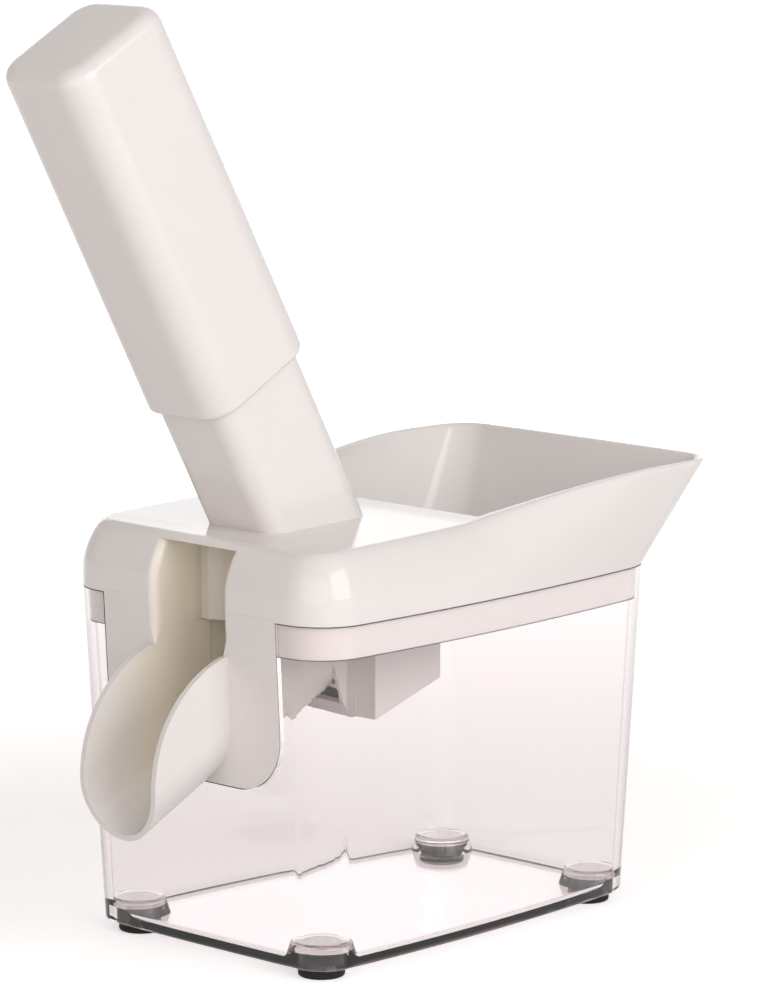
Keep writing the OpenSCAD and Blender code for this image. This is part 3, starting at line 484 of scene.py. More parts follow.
def foot_places(box):
    """Plan places of the four feet, by name."""
    y = HALF_L - box.draft - box.foot_inset
    places = {}
    for end_name, end in (("front", -1), ("rear", 1)):
        u = end * y / HALF_L
        x = box.half_w - box.side_bow * u * u - box.side_taper * u - box.draft - box.foot_inset
        places[f"foot_{end_name}_left"] = (-x, end * y)
        places[f"foot_{end_name}_right"] = (x, end * y)
    return places


def rim_outline(box):
    """Half the outline of the container's rim."""
    return half_outline(box.half_w, HALF_L, box.corner_r, box.side_bow, box.side_taper, box.end_bow, PLAN_STEPS)


def wall_ring(box, z, depth):
    """A level ring of the container's wall, drawn in by its draft and by depth."""
    lean = box.draft * (RIM_Z - z) / (RIM_Z - BASE_Z)
    return ring(drawn_in(rim_outline(box), lean + depth), z)


def shell(box, low, high, depth):
    """A solid inside the container's outline, drawn in by depth, between two heights."""
    return loft([wall_ring(box, low, depth), wall_ring(box, high, depth)])


def notch_outline(box, gap):
    """The notch's outline in X and Z, drawn in by gap."""
    w, r = box.notch_half_w - gap, box.notch_r - gap
    low, top = RIM_Z - box.notch_drop + gap, RIM_Z + PAST
    turn = np.linspace(-math.pi / 2, 0, 25)
    right = [(w - r + r * math.cos(a), low + r + r * math.sin(a)) for a in turn] + [(w, top)]
    return right + [(-x, z) for x, z in reversed(right)]


# Finishes


class Tree:
    """A node tree, with short ways to add its nodes."""

    def __init__(self, owner):
        owner.use_nodes = True
        self.nodes, self.links = owner.node_tree.nodes, owner.node_tree.links

    def fill(self, node, inputs):
        """Links inputs of a node to other nodes' outputs, or sets them to constants."""
        for key, value in inputs.items():
            socket = node.inputs[key]
            if isinstance(value, bpy.types.NodeSocket):
                self.links.new(value, socket)
            else:
                socket.default_value = (*value, 1) if socket.type == "RGBA" else value

    def add(self, kind, inputs=None, **settings):
        """A new node with its settings and inputs, as its outputs."""
        node = self.nodes.new(f"ShaderNode{kind}")
        for key, value in settings.items():
            setattr(node, key, value)
        self.fill(node, inputs or {})
        return node.outputs

    def noise(self, place, scale, detail):
        """A noise over the surface."""
        return self.add("TexNoise", {"Vector": place, "Scale": scale, "Detail": detail})["Fac"]

    def spread(self, factor, low, high):
        """A factor spread between two values."""
        return self.add("MapRange", {"Value": factor, "To Min": low, "To Max": high})["Result"]

    def ramp(self, value, start, end, low, high):
        """A soft ramp from one value to another."""
        inputs = {"Value": value, "From Min": start, "From Max": end, "To Min": low, "To Max": high}
        return self.add("MapRange", inputs, interpolation_type="SMOOTHSTEP")["Result"]

    def step_down(self, value, full, none):
        """1 up to one value, falling to 0 at another."""
        return self.ramp(value, full, none, 1, 0)

    def tones(self, factor, first, second):
        """A colour between two others."""
        outputs = self.add("Mix", {"Factor": factor}, data_type="RGBA")
        node = outputs[0].node
        places = [i for i, socket in enumerate(node.inputs) if socket.type == "RGBA"]
        self.fill(node, dict(zip(places, (first, second))))
        return next(socket for socket in outputs if socket.type == "RGBA")

    def either(self, factor, first, second):
        """One shader or another."""
        return self.add("MixShader", {"Fac": factor, 1: first, 2: second})["Shader"]

    def reckon(self, operation, *values):
        """One step of arithmetic on sockets or numbers."""
        return self.add("Math", dict(enumerate(values)), operation=operation)["Value"]

    def axes(self, vector):
        """The parts of a vector along X, Y and Z."""
        return self.add("SeparateXYZ", {"Vector": vector})

    def seen(self):
        """1 for rays from the camera, by a gloss or through clear plastic, before they meet a matt surface."""
        path = self.add("LightPath")
        value = path["Is Camera Ray"]
        for kind in ("Is Glossy Ray", "Is Transmission Ray"):
            value = self.reckon("MAXIMUM", value, path[kind])
        return self.reckon("MULTIPLY", value, self.reckon("LESS_THAN", path["Diffuse Depth"], 0.5))


def new_finish(name):
    """A material with its tree, principled shader and an object coordinate."""
    material = bpy.data.materials.new(name)
    tree = Tree(material)
    return material, tree, tree.nodes["Principled BSDF"], tree.add("TexCoord")["Object"]


def scaled(tone, by):
    """A colour made darker or lighter."""
    return tuple(min(1, c * by) for c in tone)


def chute_share(tree, place, blur):
    """Two shares for painted light: 1 inside the chute, where painted warm bounce light goes, fading along the
    spout, and 1 in the chute's front part, 0 in its deep part, which takes a painted shade.
    """
    head, spout = bpy.context.scene.pitter_head, bpy.context.scene.pitter_spout
    axes = tree.axes(place)
    y = tree.reckon("ADD", axes["Y"], spout.root_y - PLAN_Y)
    z = tree.reckon("ADD", axes["Z"], -spout.root_z)
    hair = 0.1 * MM
    edge = head.chute_w / 2 + hair
    channels = []
    for slope in (spout.slope, head.chute_slope):
        lean = tree.reckon("MULTIPLY", y, -math.sin(slope))
        rise = tree.reckon("MULTIPLY", z, math.cos(slope))
        above = tree.reckon("ADD", tree.reckon("ADD", lean, rise), -head.chute_w / 2)
        below = tree.reckon("MINIMUM", above, 0)
        squares = [tree.reckon("MULTIPLY", v, v) for v in (axes["X"], below)]
        out = tree.reckon("SQRT", tree.reckon("ADD", *squares))
        channels.append(tree.step_down(out, edge, edge + blur))
    under = RIM_Z + head.deck_rise - head.deck_fall - head.deck_t + 3 * hair
    share = tree.reckon("MAXIMUM", *channels)
    for fade in (
        tree.step_down(y, *head.warm_light_rear),
        tree.step_down(axes["Z"], under, under + 2 * hair),
        tree.step_down(tree.reckon("MULTIPLY", y, -1), *spout.warm_light_front),
    ):
        share = tree.reckon("MULTIPLY", share, fade)
    panel_z = RIM_Z - head.panel_drop
    chute = tree.step_down(axes["Z"], panel_z - PAST, panel_z)
    # The front share falls to 0 behind the chute's end and above the panel, where the painted shade goes
    return share, tree.reckon("MAXIMUM", tree.step_down(y, *head.shade_rear), chute)


def moulded_plastic(name, tone, warm, shade, gloss, edge, blur):
    """Moulded plastic: faint flow marks in its tone and gloss, painted warm bounce light inside the chute with a
    painted shade in its deep part, and softly rounded edges.
    """
    material, tree, shader, place = new_finish(name)
    flow = tree.noise(place, 45, 3)
    plain = tree.tones(flow, scaled(tone, 0.98), scaled(tone, 1.015))
    # Painted warm bounce light inside the chute, and a painted shade where the front share falls off
    inside, front = chute_share(tree, place, blur)
    grain = {"Strength": 0.03, "Distance": 0.1 * MM, "Height": tree.noise(place, 900, 2)}
    if edge:
        grain["Normal"] = tree.add("Bevel", {"Radius": edge}, samples=6)["Normal"]
    tree.fill(shader, {
        "Base Color": tree.tones(inside, plain, tree.tones(front, scaled(warm, shade), warm)),
        "Roughness": tree.spread(flow, gloss - 0.03, gloss + 0.04),
        "IOR": 1.49,
        "Normal": tree.add("Bump", grain)["Normal"],
    })
    return material


def clear_plastic(name, tone, face):
    """Clear moulded plastic: light fades with the depth of plastic it goes through, and upright faces seen edge-on
    take a painted shade.
    """
    material, tree, shader, place = new_finish(name)
    # Painted shade on upright faces seen edge-on, standing in for dark surroundings seen in the clear plastic
    turned = tree.reckon("SUBTRACT", 1, tree.step_down(tree.add("LayerWeight")["Facing"], 0.4, 1))
    level = tree.reckon("ABSOLUTE", tree.axes(tree.add("NewGeometry")["Normal"])["Z"])
    upright = tree.reckon("SUBTRACT", 1, tree.reckon("MULTIPLY", level, 0.8))
    edge_on_shade = tree.reckon("MULTIPLY", turned, upright)
    tree.fill(shader, {
        "Base Color": tree.tones(edge_on_shade, face, scaled(face, 0.25)),
        "Roughness": tree.spread(tree.noise(place, 30, 2), 0.01, 0.03),
        "Transmission Weight": 1,
        "IOR": 1.47,
    })
    through = tree.add("BsdfTransparent", {"Color": (0.93, 0.91, 0.91)})["BSDF"]
    shadow = tree.add("LightPath")["Is Shadow Ray"]
    tree.fill(tree.nodes["Material Output"], {
        "Surface": tree.either(shadow, shader.outputs["BSDF"], through),
        "Volume": tree.add("VolumeAbsorption", {"Color": tone, "Density": 32})["Volume"],
    })
    return material


def charcoal_rubber(name, tone):
    """Matt charcoal rubber with a fine grain."""
    material, tree, shader, place = new_finish(name)
    dust = tree.noise(place, 260, 4)
    grain = {"Strength": 0.25, "Distance": 0.15 * MM, "Height": tree.noise(place, 2600, 3)}
    tree.fill(shader, {
        "Base Color": tree.tones(dust, scaled(tone, 0.8), scaled(tone, 1.3)),
        "Roughness": tree.spread(dust, 0.62, 0.82),
        "Specular IOR Level": 0.25,
        "Normal": tree.add("Bump", grain)["Normal"],
    })
    return material


def brushed_steel(name, tone):
    """Stainless steel with fine drawn lines along the plunger's axis."""
    material, tree, shader, place = new_finish(name)
    turned = tree.add("Mapping", {"Vector": place, "Rotation": (-TILT, 0, 0), "Scale": (1, 1, 0.04)})["Vector"]
    lines = tree.noise(turned, 3200, 3)
    tree.fill(shader, {
        "Base Color": tree.tones(lines, scaled(tone, 0.85), scaled(tone, 1.1)),
        "Roughness": tree.spread(lines, 0.22, 0.38),
        "Metallic": 1,
    })
    return material


def finish_named(name):
    """One of the object's finishes, made when it is first asked for."""
    found = bpy.data.materials.get(name)
    if found:
        return found
    tints = bpy.context.scene.pitter_finishes
    # The white finishes carry the chute's painted warm bounce light and painted shade
    white = (tints.white, tints.inner, tints.inner_shade, tints.gloss)
    makers = {
        "white_moulding": (moulded_plastic, *white, tints.soft_edge, tints.warm_light_blur),
        "spout_moulding": (moulded_plastic, *white, 0, tints.warm_light_edge),
        "clear_moulding": (clear_plastic, tints.clear, tints.face),
        # Painted shade for the notch's cut edge
        "clear_edge": (clear_plastic, tints.clear, tints.edge),
        "charcoal_rubber_grain": (charcoal_rubber, tints.rubber),
        "drawn_steel": (brushed_steel, tints.steel),
    }
    maker, *values = makers[name]
    return maker(name, *values)


# Operators


class PITTER_OT_container(bpy.types.Operator):
    """Build the clear pit container with its rim band, notch and foot bosses"""

    bl_idname = "pitter.container"
    bl_label = "Pit container"

    def execute(self, context):
        box = context.scene.pitter_container
        outside = [wall_ring(box, BASE_Z + up, depth) for up, depth in fillet(box.base_round, 7)]
        piece = new_piece("clear_container", loft(outside + [wall_ring(box, RIM_Z, 0)]))
        floor = BASE_Z + box.floor_t
        inside = [wall_ring(box, floor + up, box.wall + depth) for up, depth in fillet(box.floor_round, 7)]
        carve(piece, loft(inside + [wall_ring(box, RIM_Z + PAST, box.wall)]))
        carve(piece, shell(box, RIM_Z - box.band_h, RIM_Z + PAST, box.rim_wall))
        carve(piece, front_prism(notch_outline(box, 0), -1.5 * HALF_L, -0.5 * HALF_L))
        boss_r = box.foot_r + box.boss_wall
        boss_h = box.foot_shank + box.boss_top
        top_r = boss_r - box.boss_taper
        crown = [(top_r - inset, BASE_Z + boss_h - below) for inset, below in fillet(box.boss_round, 7)]
        fit = context.scene.pitter_head.fit
        for x, y in foot_places(box).values():
            at = Matrix.Translation((x, y, 0))
            low = BASE_Z + box.floor_t / 2
            profile = [(0, low), (boss_r - box.boss_taper * box.floor_t / 2 / boss_h, low)]
            carve(piece, lathe(profile + crown + [(0, BASE_Z + boss_h)], 64), "UNION", at)
            carve(piece, post(x, y, BASE_Z - PAST, BASE_Z + box.foot_shank + fit, box.foot_r + fit, 64))
        settle(piece, "base", ["pit_container"],
               [finish_named("clear_moulding"), finish_named("clear_edge")])
        self.paint_notch_shade(piece, box)
        return {"FINISHED"}

    @staticmethod
    def paint_notch_shade(piece, box):
        """Gives the cut edge round the notch a painted shade, for the dark that the clear plastic shows there."""
        low = RIM_Z - box.notch_drop
        for face in piece.data.polygons:
            x, y, z = face.center
            across = abs(face.normal.y) < 0.05 and y < PLAN_Y - 0.9 * HALF_L
            if across and abs(x) < box.notch_half_w + PAST and z > low - PAST and z < RIM_Z - PAST / 10:
                face.material_index = 1


class PITTER_OT_feet(bpy.types.Operator):
    """Turn the four rubber feet"""

    bl_idname = "pitter.feet"
    bl_label = "Rubber feet"

    def execute(self, context):
        box = context.scene.pitter_container
        r, edge, top = box.foot_r, box.foot_round, BASE_Z + box.foot_shank
        sole = [(r - inset, up) for up, inset in fillet(edge, 6)]
        shank = [(r - inset, top - below) for inset, below in fillet(edge / 2, 6)]
        hollow = [(r / 2, top), (r / 2, BASE_Z), (0, BASE_Z)]
        dish = [(0, box.foot_dish), (r * 0.62, box.foot_dish), (r * 0.68, 0)]
        for name, (x, y) in foot_places(box).items():
            turned = lathe(dish + sole + shank + hollow, 64)
            piece = new_piece(f"rubber_{name}", turned, Matrix.Translation((x, y, 0)))
            settle(piece, "base", [name], [finish_named("charcoal_rubber_grain")])
        return {"FINISHED"}


class PITTER_OT_head(bpy.types.Operator):
    """Build the white head: deck, hopper, skirt, apron and chute opening"""

    bl_idname = "pitter.head"
    bl_label = "Head"

    def execute(self, context):
        scene = context.scene
        box, head = scene.pitter_container, scene.pitter_head
        spout, handle = scene.pitter_spout, scene.pitter_handle
        head_z = RIM_Z + head.seam
        deck_z = RIM_Z + head.deck_rise
        under = deck_z - head.deck_fall - head.deck_t
        half_chute = head.chute_w / 2
        cheek = half_chute + head.chute_wall
        piece = new_piece("head", self.skin(box, head, 0, 0))

        # Space inside: hopper, room under the deck, doorway and chute, less the chute's upright walls
        throat_y = -head.throat
        curtain_z = RIM_Z + head.curtain_rise
        rear = head.wall - head.deck_rear
        start_z = deck_z + head.drop_rise
        drop = [(rear - inset, start_z - below) for inset, below in fillet(head.rim_round, 7)]
        zones = new_piece("zones", side_prism(
            [(REACH, 0), (REACH, REACH), (drop[-1][0], REACH)] + drop[::-1] + [(rear, 0)], -REACH, REACH))
        carve(zones, block((-REACH, -REACH, 0), (REACH, REACH, curtain_z)), "UNION")
        carve(zones, block((-REACH, -REACH, 0), (REACH, -head.deck_rear, under)), "UNION")
        carve(zones, block((-half_chute, -REACH, 0), (half_chute, REACH, under)), "UNION")
        cheeks = ((-cheek, -half_chute), (half_chute, cheek))
        for low, high in cheeks:
            carve(zones, block((low, -HALF_L, head_z), (high, throat_y, deck_z)))
        space = new_piece("space", self.skin(box, head, head.wall, 10 * PAST))
        carve(space, zones, "INTERSECT")
        carve(piece, space)

        # Skirt in the rim band, apron in the notch, chute walls and screw pillars
        depth = box.rim_wall + head.seam
        skirt_z = RIM_Z - box.band_h + head.ledge
        skirt_top = head_z + head.skirt_rise
        skirt = new_piece("skirt", shell(box, skirt_z, skirt_top, depth))
        carve(skirt, shell(box, skirt_z - PAST, skirt_top + PAST, depth + head.skirt_t))
        carve(piece, skirt, "UNION")
        apron = new_piece("apron", shell(box, BASE_Z, RIM_Z + PAST, 0))
        carve(apron, shell(box, BASE_Z - PAST, RIM_Z + 2 * PAST, head.wall))
        carve(apron, front_prism(notch_outline(box, head.seam), -1.5 * HALF_L, -0.5 * HALF_L), "INTERSECT")
        carve(piece, apron, "UNION")
        slope = math.tan(head.chute_slope)
        notch_z = RIM_Z - box.notch_drop
        front_y = -HALF_L + box.draft * box.notch_drop / (RIM_Z - BASE_Z)
        front_z = spout.root_z + (front_y + spout.root_y) * slope
        front_z += (half_chute + head.chute_lip) / math.cos(head.chute_slope) + head.seam
        wall = [(front_y, front_z), (throat_y, front_z + (throat_y - front_y) * slope), (throat_y, skirt_top),
                (front_y, skirt_top)]
        for low, high in cheeks:
            carve(piece, side_prism(wall, low, high), "UNION")
        ceiling = under + head.fit
        carve(piece, self.panel(head, half_chute + 2 * head.fit, RIM_Z - head.panel_drop, ceiling), "UNION")
        for x, y, low, hole_top in self.pillars(head):
            carve(piece, post(x, y, low, ceiling, head.pillar_r), "UNION")
            carve(piece, post(x, y, low - PAST, hole_top, head.screw_bore_r))

        # Chute opening with rounded jambs, its way through the apron, and the stem's hole
        top_z = notch_z + spout.rise
        carve(piece, self.opening(box, head, top_z - PAST, under))
        root = (0, -spout.root_y, spout.root_z)
        way = new_piece("way", trough(spout.slope, half_chute, HALF_L, HALF_L / 2, root))
        carve(way, block((-HALF_L, -HALF_L - PAST, 0), (HALF_L, -spout.root_y, top_z)), "INTERSECT")
        carve(piece, way)
        lap = head.stem_lap
        hole = rounded(handle.stem_w - 2 * lap, handle.stem_d - 2 * lap, handle.stem_r - lap)
        carve(piece, extrude(hole, lambda x, y, z: (x, y, z), -handle.stem_d, handle.stem_d),
              place=plunger_frame(handle, head))
        settle(piece, "head", ["head_shell"], [finish_named("white_moulding")])
        return {"FINISHED"}

    def skin(self, box, head, depth, extra):
        """The head's outer skin, drawn in by depth and carried up by extra."""
        head_z = RIM_Z + head.seam
        rim = rim_outline(box)
        shift = head.rear_flare / 2
        hopper = half_outline(box.half_w + head.side_flare, HALF_L + shift, head.hopper_r, head.hopper_bow,
                              head.hopper_bow, box.end_bow, PLAN_STEPS) + [0, shift]
        t = np.clip((rim[:, 1] + head.deck_rear + head.rise_lead) / head.rise_l, 0, 1)
        s = (1 - np.cos(math.pi * t ** 0.75)) / 2
        top = RIM_Z + head.deck_rise + head.deck_fall * np.minimum(0, rim[:, 1] / HALF_L) + head.hopper_rise * s
        high = top - head_z

        def row(below, inset):
            k = np.clip(1 - below / high, 0, 1)
            deck = drawn_in(rim, inset)
            wall = rim * (1 - k[:, None]) + hopper * k[:, None]
            outline = deck * (1 - s[:, None]) + wall * s[:, None]
            near = np.clip(head.rim_round - below, 0, head.rim_round)
            edge = s * (head.rim_round - np.sqrt(head.rim_round ** 2 - near ** 2))
            return drawn_in(outline, depth + (edge if depth == 0 else -edge)), top - below

        straight = high - head.shoulder_h
        rings = [ring(*row(head.shoulder_h + straight * (1 - f), 0)) for f in np.linspace(0, 1, 5)[:-1]]
        rings += [ring(*row(below, inset)) for inset, below in self.shoulder(head)]
        if extra:
            low = rings[0] * 1.0
            low[:, 2] -= PAST
            high_ring = rings[-1] * 1.0
            high_ring[:, 2] += extra
            rings = [low] + rings + [high_ring]
        return loft(rings)

    @staticmethod
    def shoulder(head):
        """The shoulder's profile: how far in and how far below the deck's edge each of its points lies."""
        steps = [0, 0.1, 0.2, 0.3, 0.4, 0.5, 0.6, 0.7, 0.775, 0.85, 0.9, 0.94, 0.975, 1]
        pulls = [(0, 1), (0.11, 0.63), (0.525, 0.046), (1, 0)]
        curve = [bezier(pulls, u) for u in steps]
        return [(head.shoulder_w * inset, head.shoulder_h * below) for inset, below in curve]

    @classmethod
    def opening(cls, box, head, low, high):
        """The way through the head's front above the spout, its jambs rounded where they meet the front."""
        top = RIM_Z + head.deck_rise - head.deck_fall
        insets, drops = zip(*reversed(cls.shoulder(head)))
        rear = -0.75 * HALF_L
        turn = np.linspace(0, math.pi / 2, 9)
        rings = []
        for z in np.linspace(low, high, 25):
            lean = box.draft * max(0, RIM_Z - z) / (RIM_Z - BASE_Z)
            front = -HALF_L + max(lean, float(np.interp(top - z, drops, insets, right=0)))
            r = head.jamb_r * min(1, (z - low) / (2 * head.jamb_r) + 0.02)
            jamb = [(head.chute_w / 2 + r - r * math.sin(a), front + r - r * math.cos(a)) for a in turn]
            half = [(0, front - PAST), (jamb[0][0], front - PAST), *jamb, (head.chute_w / 2, rear), (0, rear)]
            rings.append(ring(np.array(half), z))
        return loft(rings)

    @staticmethod
    def panel(head, half_w, low, high):
        """A panel across the top of the chute, with rounded inner corners, that hides the stem's flange."""
        r, rear = head.panel_r, -head.throat
        front = rear - head.panel_t
        turn = np.linspace(0, math.pi / 2, 17)
        right = [(half_w - r + r * math.cos(a), front - r + r * math.sin(a)) for a in turn]
        outline = [(-half_w, rear), *((-x, y) for x, y in right), *reversed(right), (half_w, rear)]
        return extrude(outline, lambda x, y, z: (x, y, z), low, high)

    @staticmethod
    def pillars(head):
        """Screw pillars under the deck: place, lower end and top of the screw's hole."""
        places = []
        r = head.screw_head_r
        for node, pairs in (("stem_screws", 2), ("tray_screws", 1)):
            low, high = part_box(node)
            ends = (low.y + r, high.y - r) if pairs == 2 else ((low.y + high.y) / 2,)
            top = high.z + head.fit
            for x in (low.x + r, high.x - r):
                places.extend((x, y - PLAN_Y, top - head.screw_bite, top) for y in ends)
        return places


class PITTER_OT_spout(bpy.types.Operator):
    """Build the spout with its swept rim"""

    bl_idname = "pitter.spout"
    bl_label = "Spout"

    def execute(self, context):
        scene = context.scene
        box, head, spout = scene.pitter_container, scene.pitter_head, scene.pitter_spout
        half_chute = head.chute_w / 2
        cheek = half_chute + head.chute_wall
        origin = np.array((0, -spout.root_y, spout.root_z))
        piece = new_piece("spout_lip", trough(
            spout.slope, cheek, HALF_L, HALF_L, origin - [0, 0, head.chute_wall]))
        inside = origin + [0, 0, spout.proud]
        carve(piece, trough(spout.slope, half_chute - spout.proud, HALF_L + PAST, HALF_L + PAST, inside))
        lip_y = -HALF_L - spout.reach
        top_z = RIM_Z - box.notch_drop + spout.rise
        floor_z = spout.root_z - (-spout.root_y - lip_y) * math.tan(spout.slope)
        start, end = np.array((-HALF_L, top_z)), np.array((lip_y, floor_z + spout.lip_h))
        drop = start[1] - end[1]
        out, back = (spout.reach * 0.46, drop * 0.1), (spout.reach * 0.03, drop * 0.55)
        pulls = [start, start - out, end + back, end]
        curve = [tuple(bezier(pulls, u)) for u in np.linspace(0, 1, 25)]
        rear, under = -spout.root_y + spout.root_lap, floor_z - 2 * head.chute_wall
        foot = np.array((lip_y + spout.lip_h * spout.lean, under))
        pull = end + (end - pulls[2]) * 0.4
        for u in np.linspace(0, 1, 9)[1:]:
            curve.append(tuple(end * (1 - u) ** 2 + pull * 2 * u * (1 - u) + foot * u * u))
        outline = [(rear, top_z)] + curve + [(rear, under)]
        carve(piece, side_prism(outline, -box.half_w, box.half_w), "INTERSECT")
        self.round_rim(piece, spout.rim_round)
        settle(piece, "head", ["spout"], [finish_named("spout_moulding")])
        return {"FINISHED"}

    @staticmethod
    def round_rim(piece, width):
        """Rounds the edges of the rim in front of the apron."""
        shape = bmesh.new()
        shape.from_mesh(piece.data)
        rim = [
            edge for edge in shape.edges
            if edge.is_manifold and edge.calc_face_angle() > math.radians(50)
            and max(vert.co.y for vert in edge.verts) < -HALF_L + PAST / 10
        ]
        bmesh.ops.bevel(
            shape, geom=rim, offset=width, segments=4, profile=0.5, affect="EDGES", clamp_overlap=True
        )
        shape.to_mesh(piece.data)
        shape.free()


class PITTER_OT_handle(bpy.types.Operator):
    """Build the push handle: rounded top, drafted sides, soft lower lip and the rod's boss"""

    bl_idname = "pitter.handle"
    bl_label = "Push handle"

    def execute(self, context):
        scene = context.scene
        head, handle = scene.pitter_head, scene.pitter_handle
        low, high = handle.low, handle.low + handle.long
        bore_w, bore_d = handle.stem_w / 2 + handle.slide, handle.stem_d / 2 + handle.slide
        outer = half_outline(bore_w + handle.side_wall, bore_d + handle.face_wall, handle.corner_r, 0, 0,
                             handle.bow, HANDLE_STEPS)
        inner = half_outline(bore_w, bore_d, handle.stem_r + handle.slide, 0, 0, 0, HANDLE_STEPS)
        ceiling = high - handle.top_t
        rings = [ring(inner, z) for z in np.linspace(ceiling, low + handle.lip, 12)]
        for t in np.linspace(0, 1, 11)[1:-1]:
            z = low + handle.lip * abs(2 * t - 1) ** 3
            rings.append(ring(inner * (1 - t) + outer * t, z))
        shoulder = high - handle.crown - handle.top_r
        for z in np.linspace(low + handle.lip, shoulder, 16):
            rings.append(ring(drawn_in(outer, handle.draft * (z - low) / (shoulder - low)), z))
        for a in np.linspace(0, math.pi / 2, 11)[1:]:
            inset = handle.draft + handle.top_r * (1 - math.cos(a))
            rings.append(ring(drawn_in(outer, inset), shoulder + handle.top_r * math.sin(a)))
        top = drawn_in(outer, handle.draft + handle.top_r)
        for f in (0.85, 0.68, 0.5, 0.32, 0.15):
            rings.append(ring(top * f, high - handle.crown * f * f))
        axis = plunger_frame(handle, head)
        piece = new_piece("push_handle", loft(rings), axis)
        boss_low = ceiling - handle.boss_l
        carve(piece, post(0, 0, boss_low, ceiling + handle.top_t / 2, handle.boss_r), "UNION", axis)
        rod_top = ceiling - handle.rod_gap
        carve(piece, post(0, 0, boss_low - PAST, rod_top + head.fit, handle.rod_r + head.fit), place=axis)
        middle = Matrix.Translation((0, 0, (boss_low - head.fit + rod_top) / 2))
        pin = axis @ middle @ Matrix.Rotation(math.pi / 2, 4, "Y")
        reach = handle.boss_r + PAST
        carve(piece, post(0, 0, -reach, reach, handle.pin_r + head.fit), place=pin)
        settle(piece, "plunger", ["handle_sleeve"], [finish_named("white_moulding")])
        return {"FINISHED"}


class PITTER_OT_spring(bpy.types.Operator):
    """Wind the return spring"""

    bl_idname = "pitter.spring"
    bl_label = "Return spring"

    def execute(self, context):
        scene = context.scene
        head, handle = scene.pitter_head, scene.pitter_handle
        sides, per_turn = 12, 32
        low, high = handle.spring_low + handle.wire_r, handle.spring_high - handle.wire_r
        count = handle.turns * per_turn
        pitch = (high - low) / handle.turns
        lean = math.atan(pitch / (2 * math.pi * handle.coil_r))
        around = 2 * math.pi * np.arange(sides) / sides
        points = []
        for i in range(count + 1):
            a = 2 * math.pi * i / per_turn
            out = np.array((math.cos(a), math.sin(a), 0))
            up = np.array((math.sin(a) * math.sin(lean), -math.cos(a) * math.sin(lean), math.cos(lean)))
            middle = out * handle.coil_r + (0, 0, low + pitch * i / per_turn)
            points.extend(middle + handle.wire_r * (math.cos(b) * out + math.sin(b) * up) for b in around)
        faces = []
        for i in range(count):
            for j in range(sides):
                a, b = i * sides + j, i * sides + (j + 1) % sides
                faces.append((a, b, b + sides, a + sides))
        faces.append(tuple(range(sides - 1, -1, -1)))
        faces.append(tuple(count * sides + j for j in range(sides)))
        axis = plunger_frame(handle, head)
        piece = new_piece("wound_spring", (np.array(points), faces), axis)
        settle(piece, "plunger", ["return_spring"], [finish_named("drawn_steel")])
        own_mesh(piece)
        return {"FINISHED"}


class PITTER_OT_works(bpy.types.Operator):
    """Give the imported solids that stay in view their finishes"""

    bl_idname = "pitter.works"
    bl_label = "Works"

    finishes = {
        "white_plastic": "white_moulding",
        "charcoal_rubber": "charcoal_rubber_grain",
        "steel": "drawn_steel",
    }

    def execute(self, context):
        for row in frame["record"]["subparts"]:
            node = frame["nodes"][row["node"]]
            if node.hide_render:
                continue
            node.data.materials.clear()
            node.data.materials.append(finish_named(self.finishes[row["material_slot"]]))
        return {"FINISHED"}


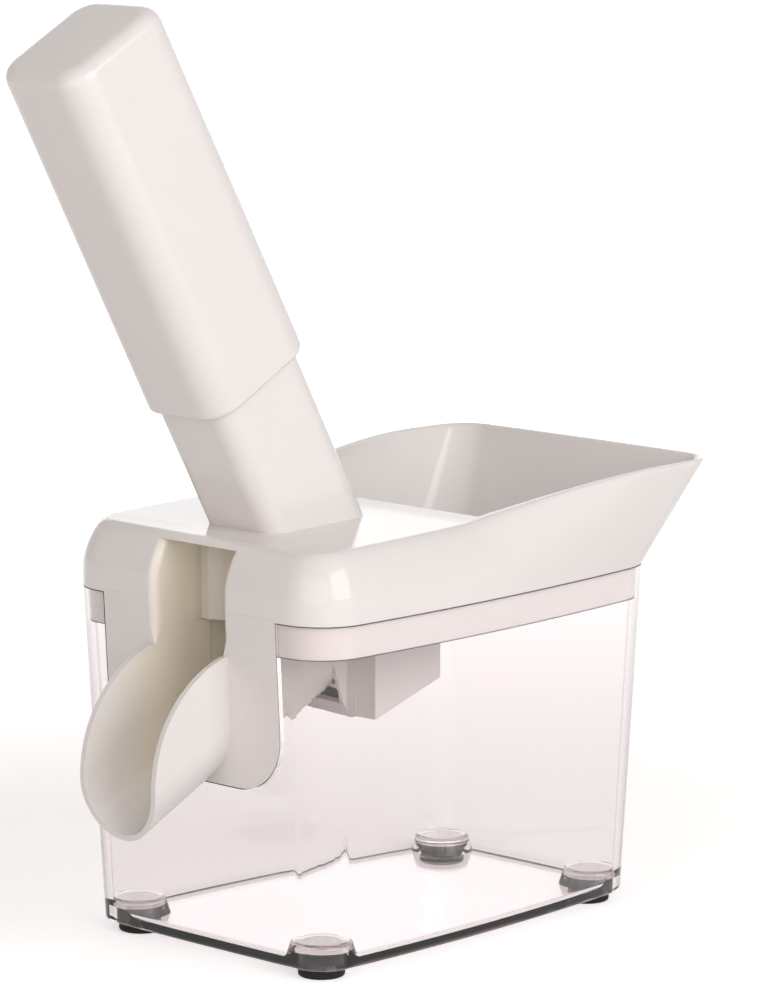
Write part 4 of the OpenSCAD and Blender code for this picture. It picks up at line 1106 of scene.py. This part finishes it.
class PITTER_OT_stage(bpy.types.Operator):
    """Lay the pale floor and set the light and the camera"""

    bl_idname = "pitter.stage"
    bl_label = "Stage"

    def execute(self, context):
        scene = context.scene
        stage = scene.pitter_stage
        scene.view_settings.view_transform = "Standard"
        self.floor(scene.pitter_finishes.floor, stage)
        self.surround(scene, stage.ambient, stage.ambient_tone)
        self.lamp("key_light", stage.key_power, (1.2, 1.2), (1.5, -0.1, 0.8), (1, 1, 1))
        self.lamp("fill_light", stage.fill_power, (1.7, 1.2), (0.75, -1.35, 0.55), stage.ambient_tone)
        self.lamp("rear_light", stage.rear_power, (1.6, 0.9), (-1.3, 1.35, 0.72), (1, 1, 1))
        data = bpy.data.cameras.new("camera")
        data.lens = stage.lens
        data.sensor_width = 36
        data.clip_end = 20
        camera = bpy.data.objects.new("camera", data)
        camera.location = Vector(stage.camera_place) + Vector((0, PLAN_Y, 0))
        camera.rotation_euler = (math.pi / 2 - stage.camera_dip, 0, stage.camera_turn)
        scene.collection.objects.link(camera)
        scene.camera = camera
        return {"FINISHED"}

    @staticmethod
    def floor(tone, stage):
        """A wide pale floor that keeps the object's shadow."""
        half = stage.floor_half
        corners = [(-half, -half, 0), (half, -half, 0), (half, half, 0), (-half, half, 0)]
        floor = new_piece("floor", (corners, [(0, 1, 2, 3)]))
        material, tree, shader, place = new_finish("pale_floor")
        away = tree.add("VectorMath", {0: place}, operation="LENGTH")["Value"]
        fade = tree.ramp(away, *stage.floor_fade, stage.floor_lift, 1)
        tree.fill(shader, {
            "Base Color": tone,
            "Roughness": 0.9,
            "Specular IOR Level": 0,
            "Emission Color": (1, 1, 1),
            "Emission Strength": tree.reckon("MULTIPLY", tree.seen(), fade),
        })
        floor.data.materials.append(material)

    @staticmethod
    def surround(scene, ambient, tone):
        """Even light from all round, which shows as white."""
        scene.world = bpy.data.worlds.new("surround")
        tree = Tree(scene.world)
        plain = tree.nodes["Background"]
        tree.fill(plain, {"Color": tone, "Strength": ambient})
        white = tree.add("Background", {"Color": (1, 1, 1), "Strength": 1})["Background"]
        light = tree.either(tree.seen(), plain.outputs["Background"], white)
        tree.fill(tree.nodes["World Output"], {"Surface": light})

    @staticmethod
    def lamp(name, power, size, place, tone):
        """A soft lamp that faces the object's middle."""
        data = bpy.data.lights.new(name, "AREA")
        data.energy = power
        data.color = tone
        data.shape = "RECTANGLE"
        data.size, data.size_y = size
        lamp = bpy.data.objects.new(name, data)
        lamp.location = place
        lamp.rotation_euler = (Vector((0, 0, 0.12)) - Vector(place)).to_track_quat("-Z", "Y").to_euler()
        bpy.context.scene.collection.objects.link(lamp)


class PITTER_PT_panel(bpy.types.Panel):
    """The pitter's pieces and sizes"""

    bl_idname = "PITTER_PT_panel"
    bl_label = "Cherry pitter"
    bl_space_type = "VIEW_3D"
    bl_region_type = "UI"
    bl_category = "Pitter"

    def draw(self, context):
        for operator in OPERATORS:
            self.layout.operator(operator.bl_idname)
        for name in GROUPS:
            group = getattr(context.scene, name)
            column = self.layout.column(heading=name)
            for key in group.bl_rna.properties.keys():
                if key not in ("rna_type", "name"):
                    column.prop(group, key)


GROUPS = {
    "pitter_container": ContainerSizes,
    "pitter_head": HeadSizes,
    "pitter_spout": SpoutSizes,
    "pitter_handle": HandleSizes,
    "pitter_finishes": Finishes,
    "pitter_stage": StageSettings,
}
OPERATORS = (
    PITTER_OT_stage, PITTER_OT_container, PITTER_OT_feet, PITTER_OT_head, PITTER_OT_spout, PITTER_OT_handle,
    PITTER_OT_spring, PITTER_OT_works,
)


def register():
    for cls in (*GROUPS.values(), *OPERATORS, PITTER_PT_panel):
        bpy.utils.register_class(cls)
    for name, group in GROUPS.items():
        setattr(bpy.types.Scene, name, PointerProperty(type=group))


def unregister():
    for name in GROUPS:
        delattr(bpy.types.Scene, name)
    for cls in reversed((*GROUPS.values(), *OPERATORS, PITTER_PT_panel)):
        bpy.utils.unregister_class(cls)


def main():
    register()
    bpy.ops.pitter.stage()
    bpy.ops.pitter.container()
    bpy.ops.pitter.feet()
    bpy.ops.pitter.head()
    bpy.ops.pitter.spout()
    bpy.ops.pitter.handle()
    bpy.ops.pitter.spring()
    bpy.ops.pitter.works()


if __name__ == "__main__":
    main()
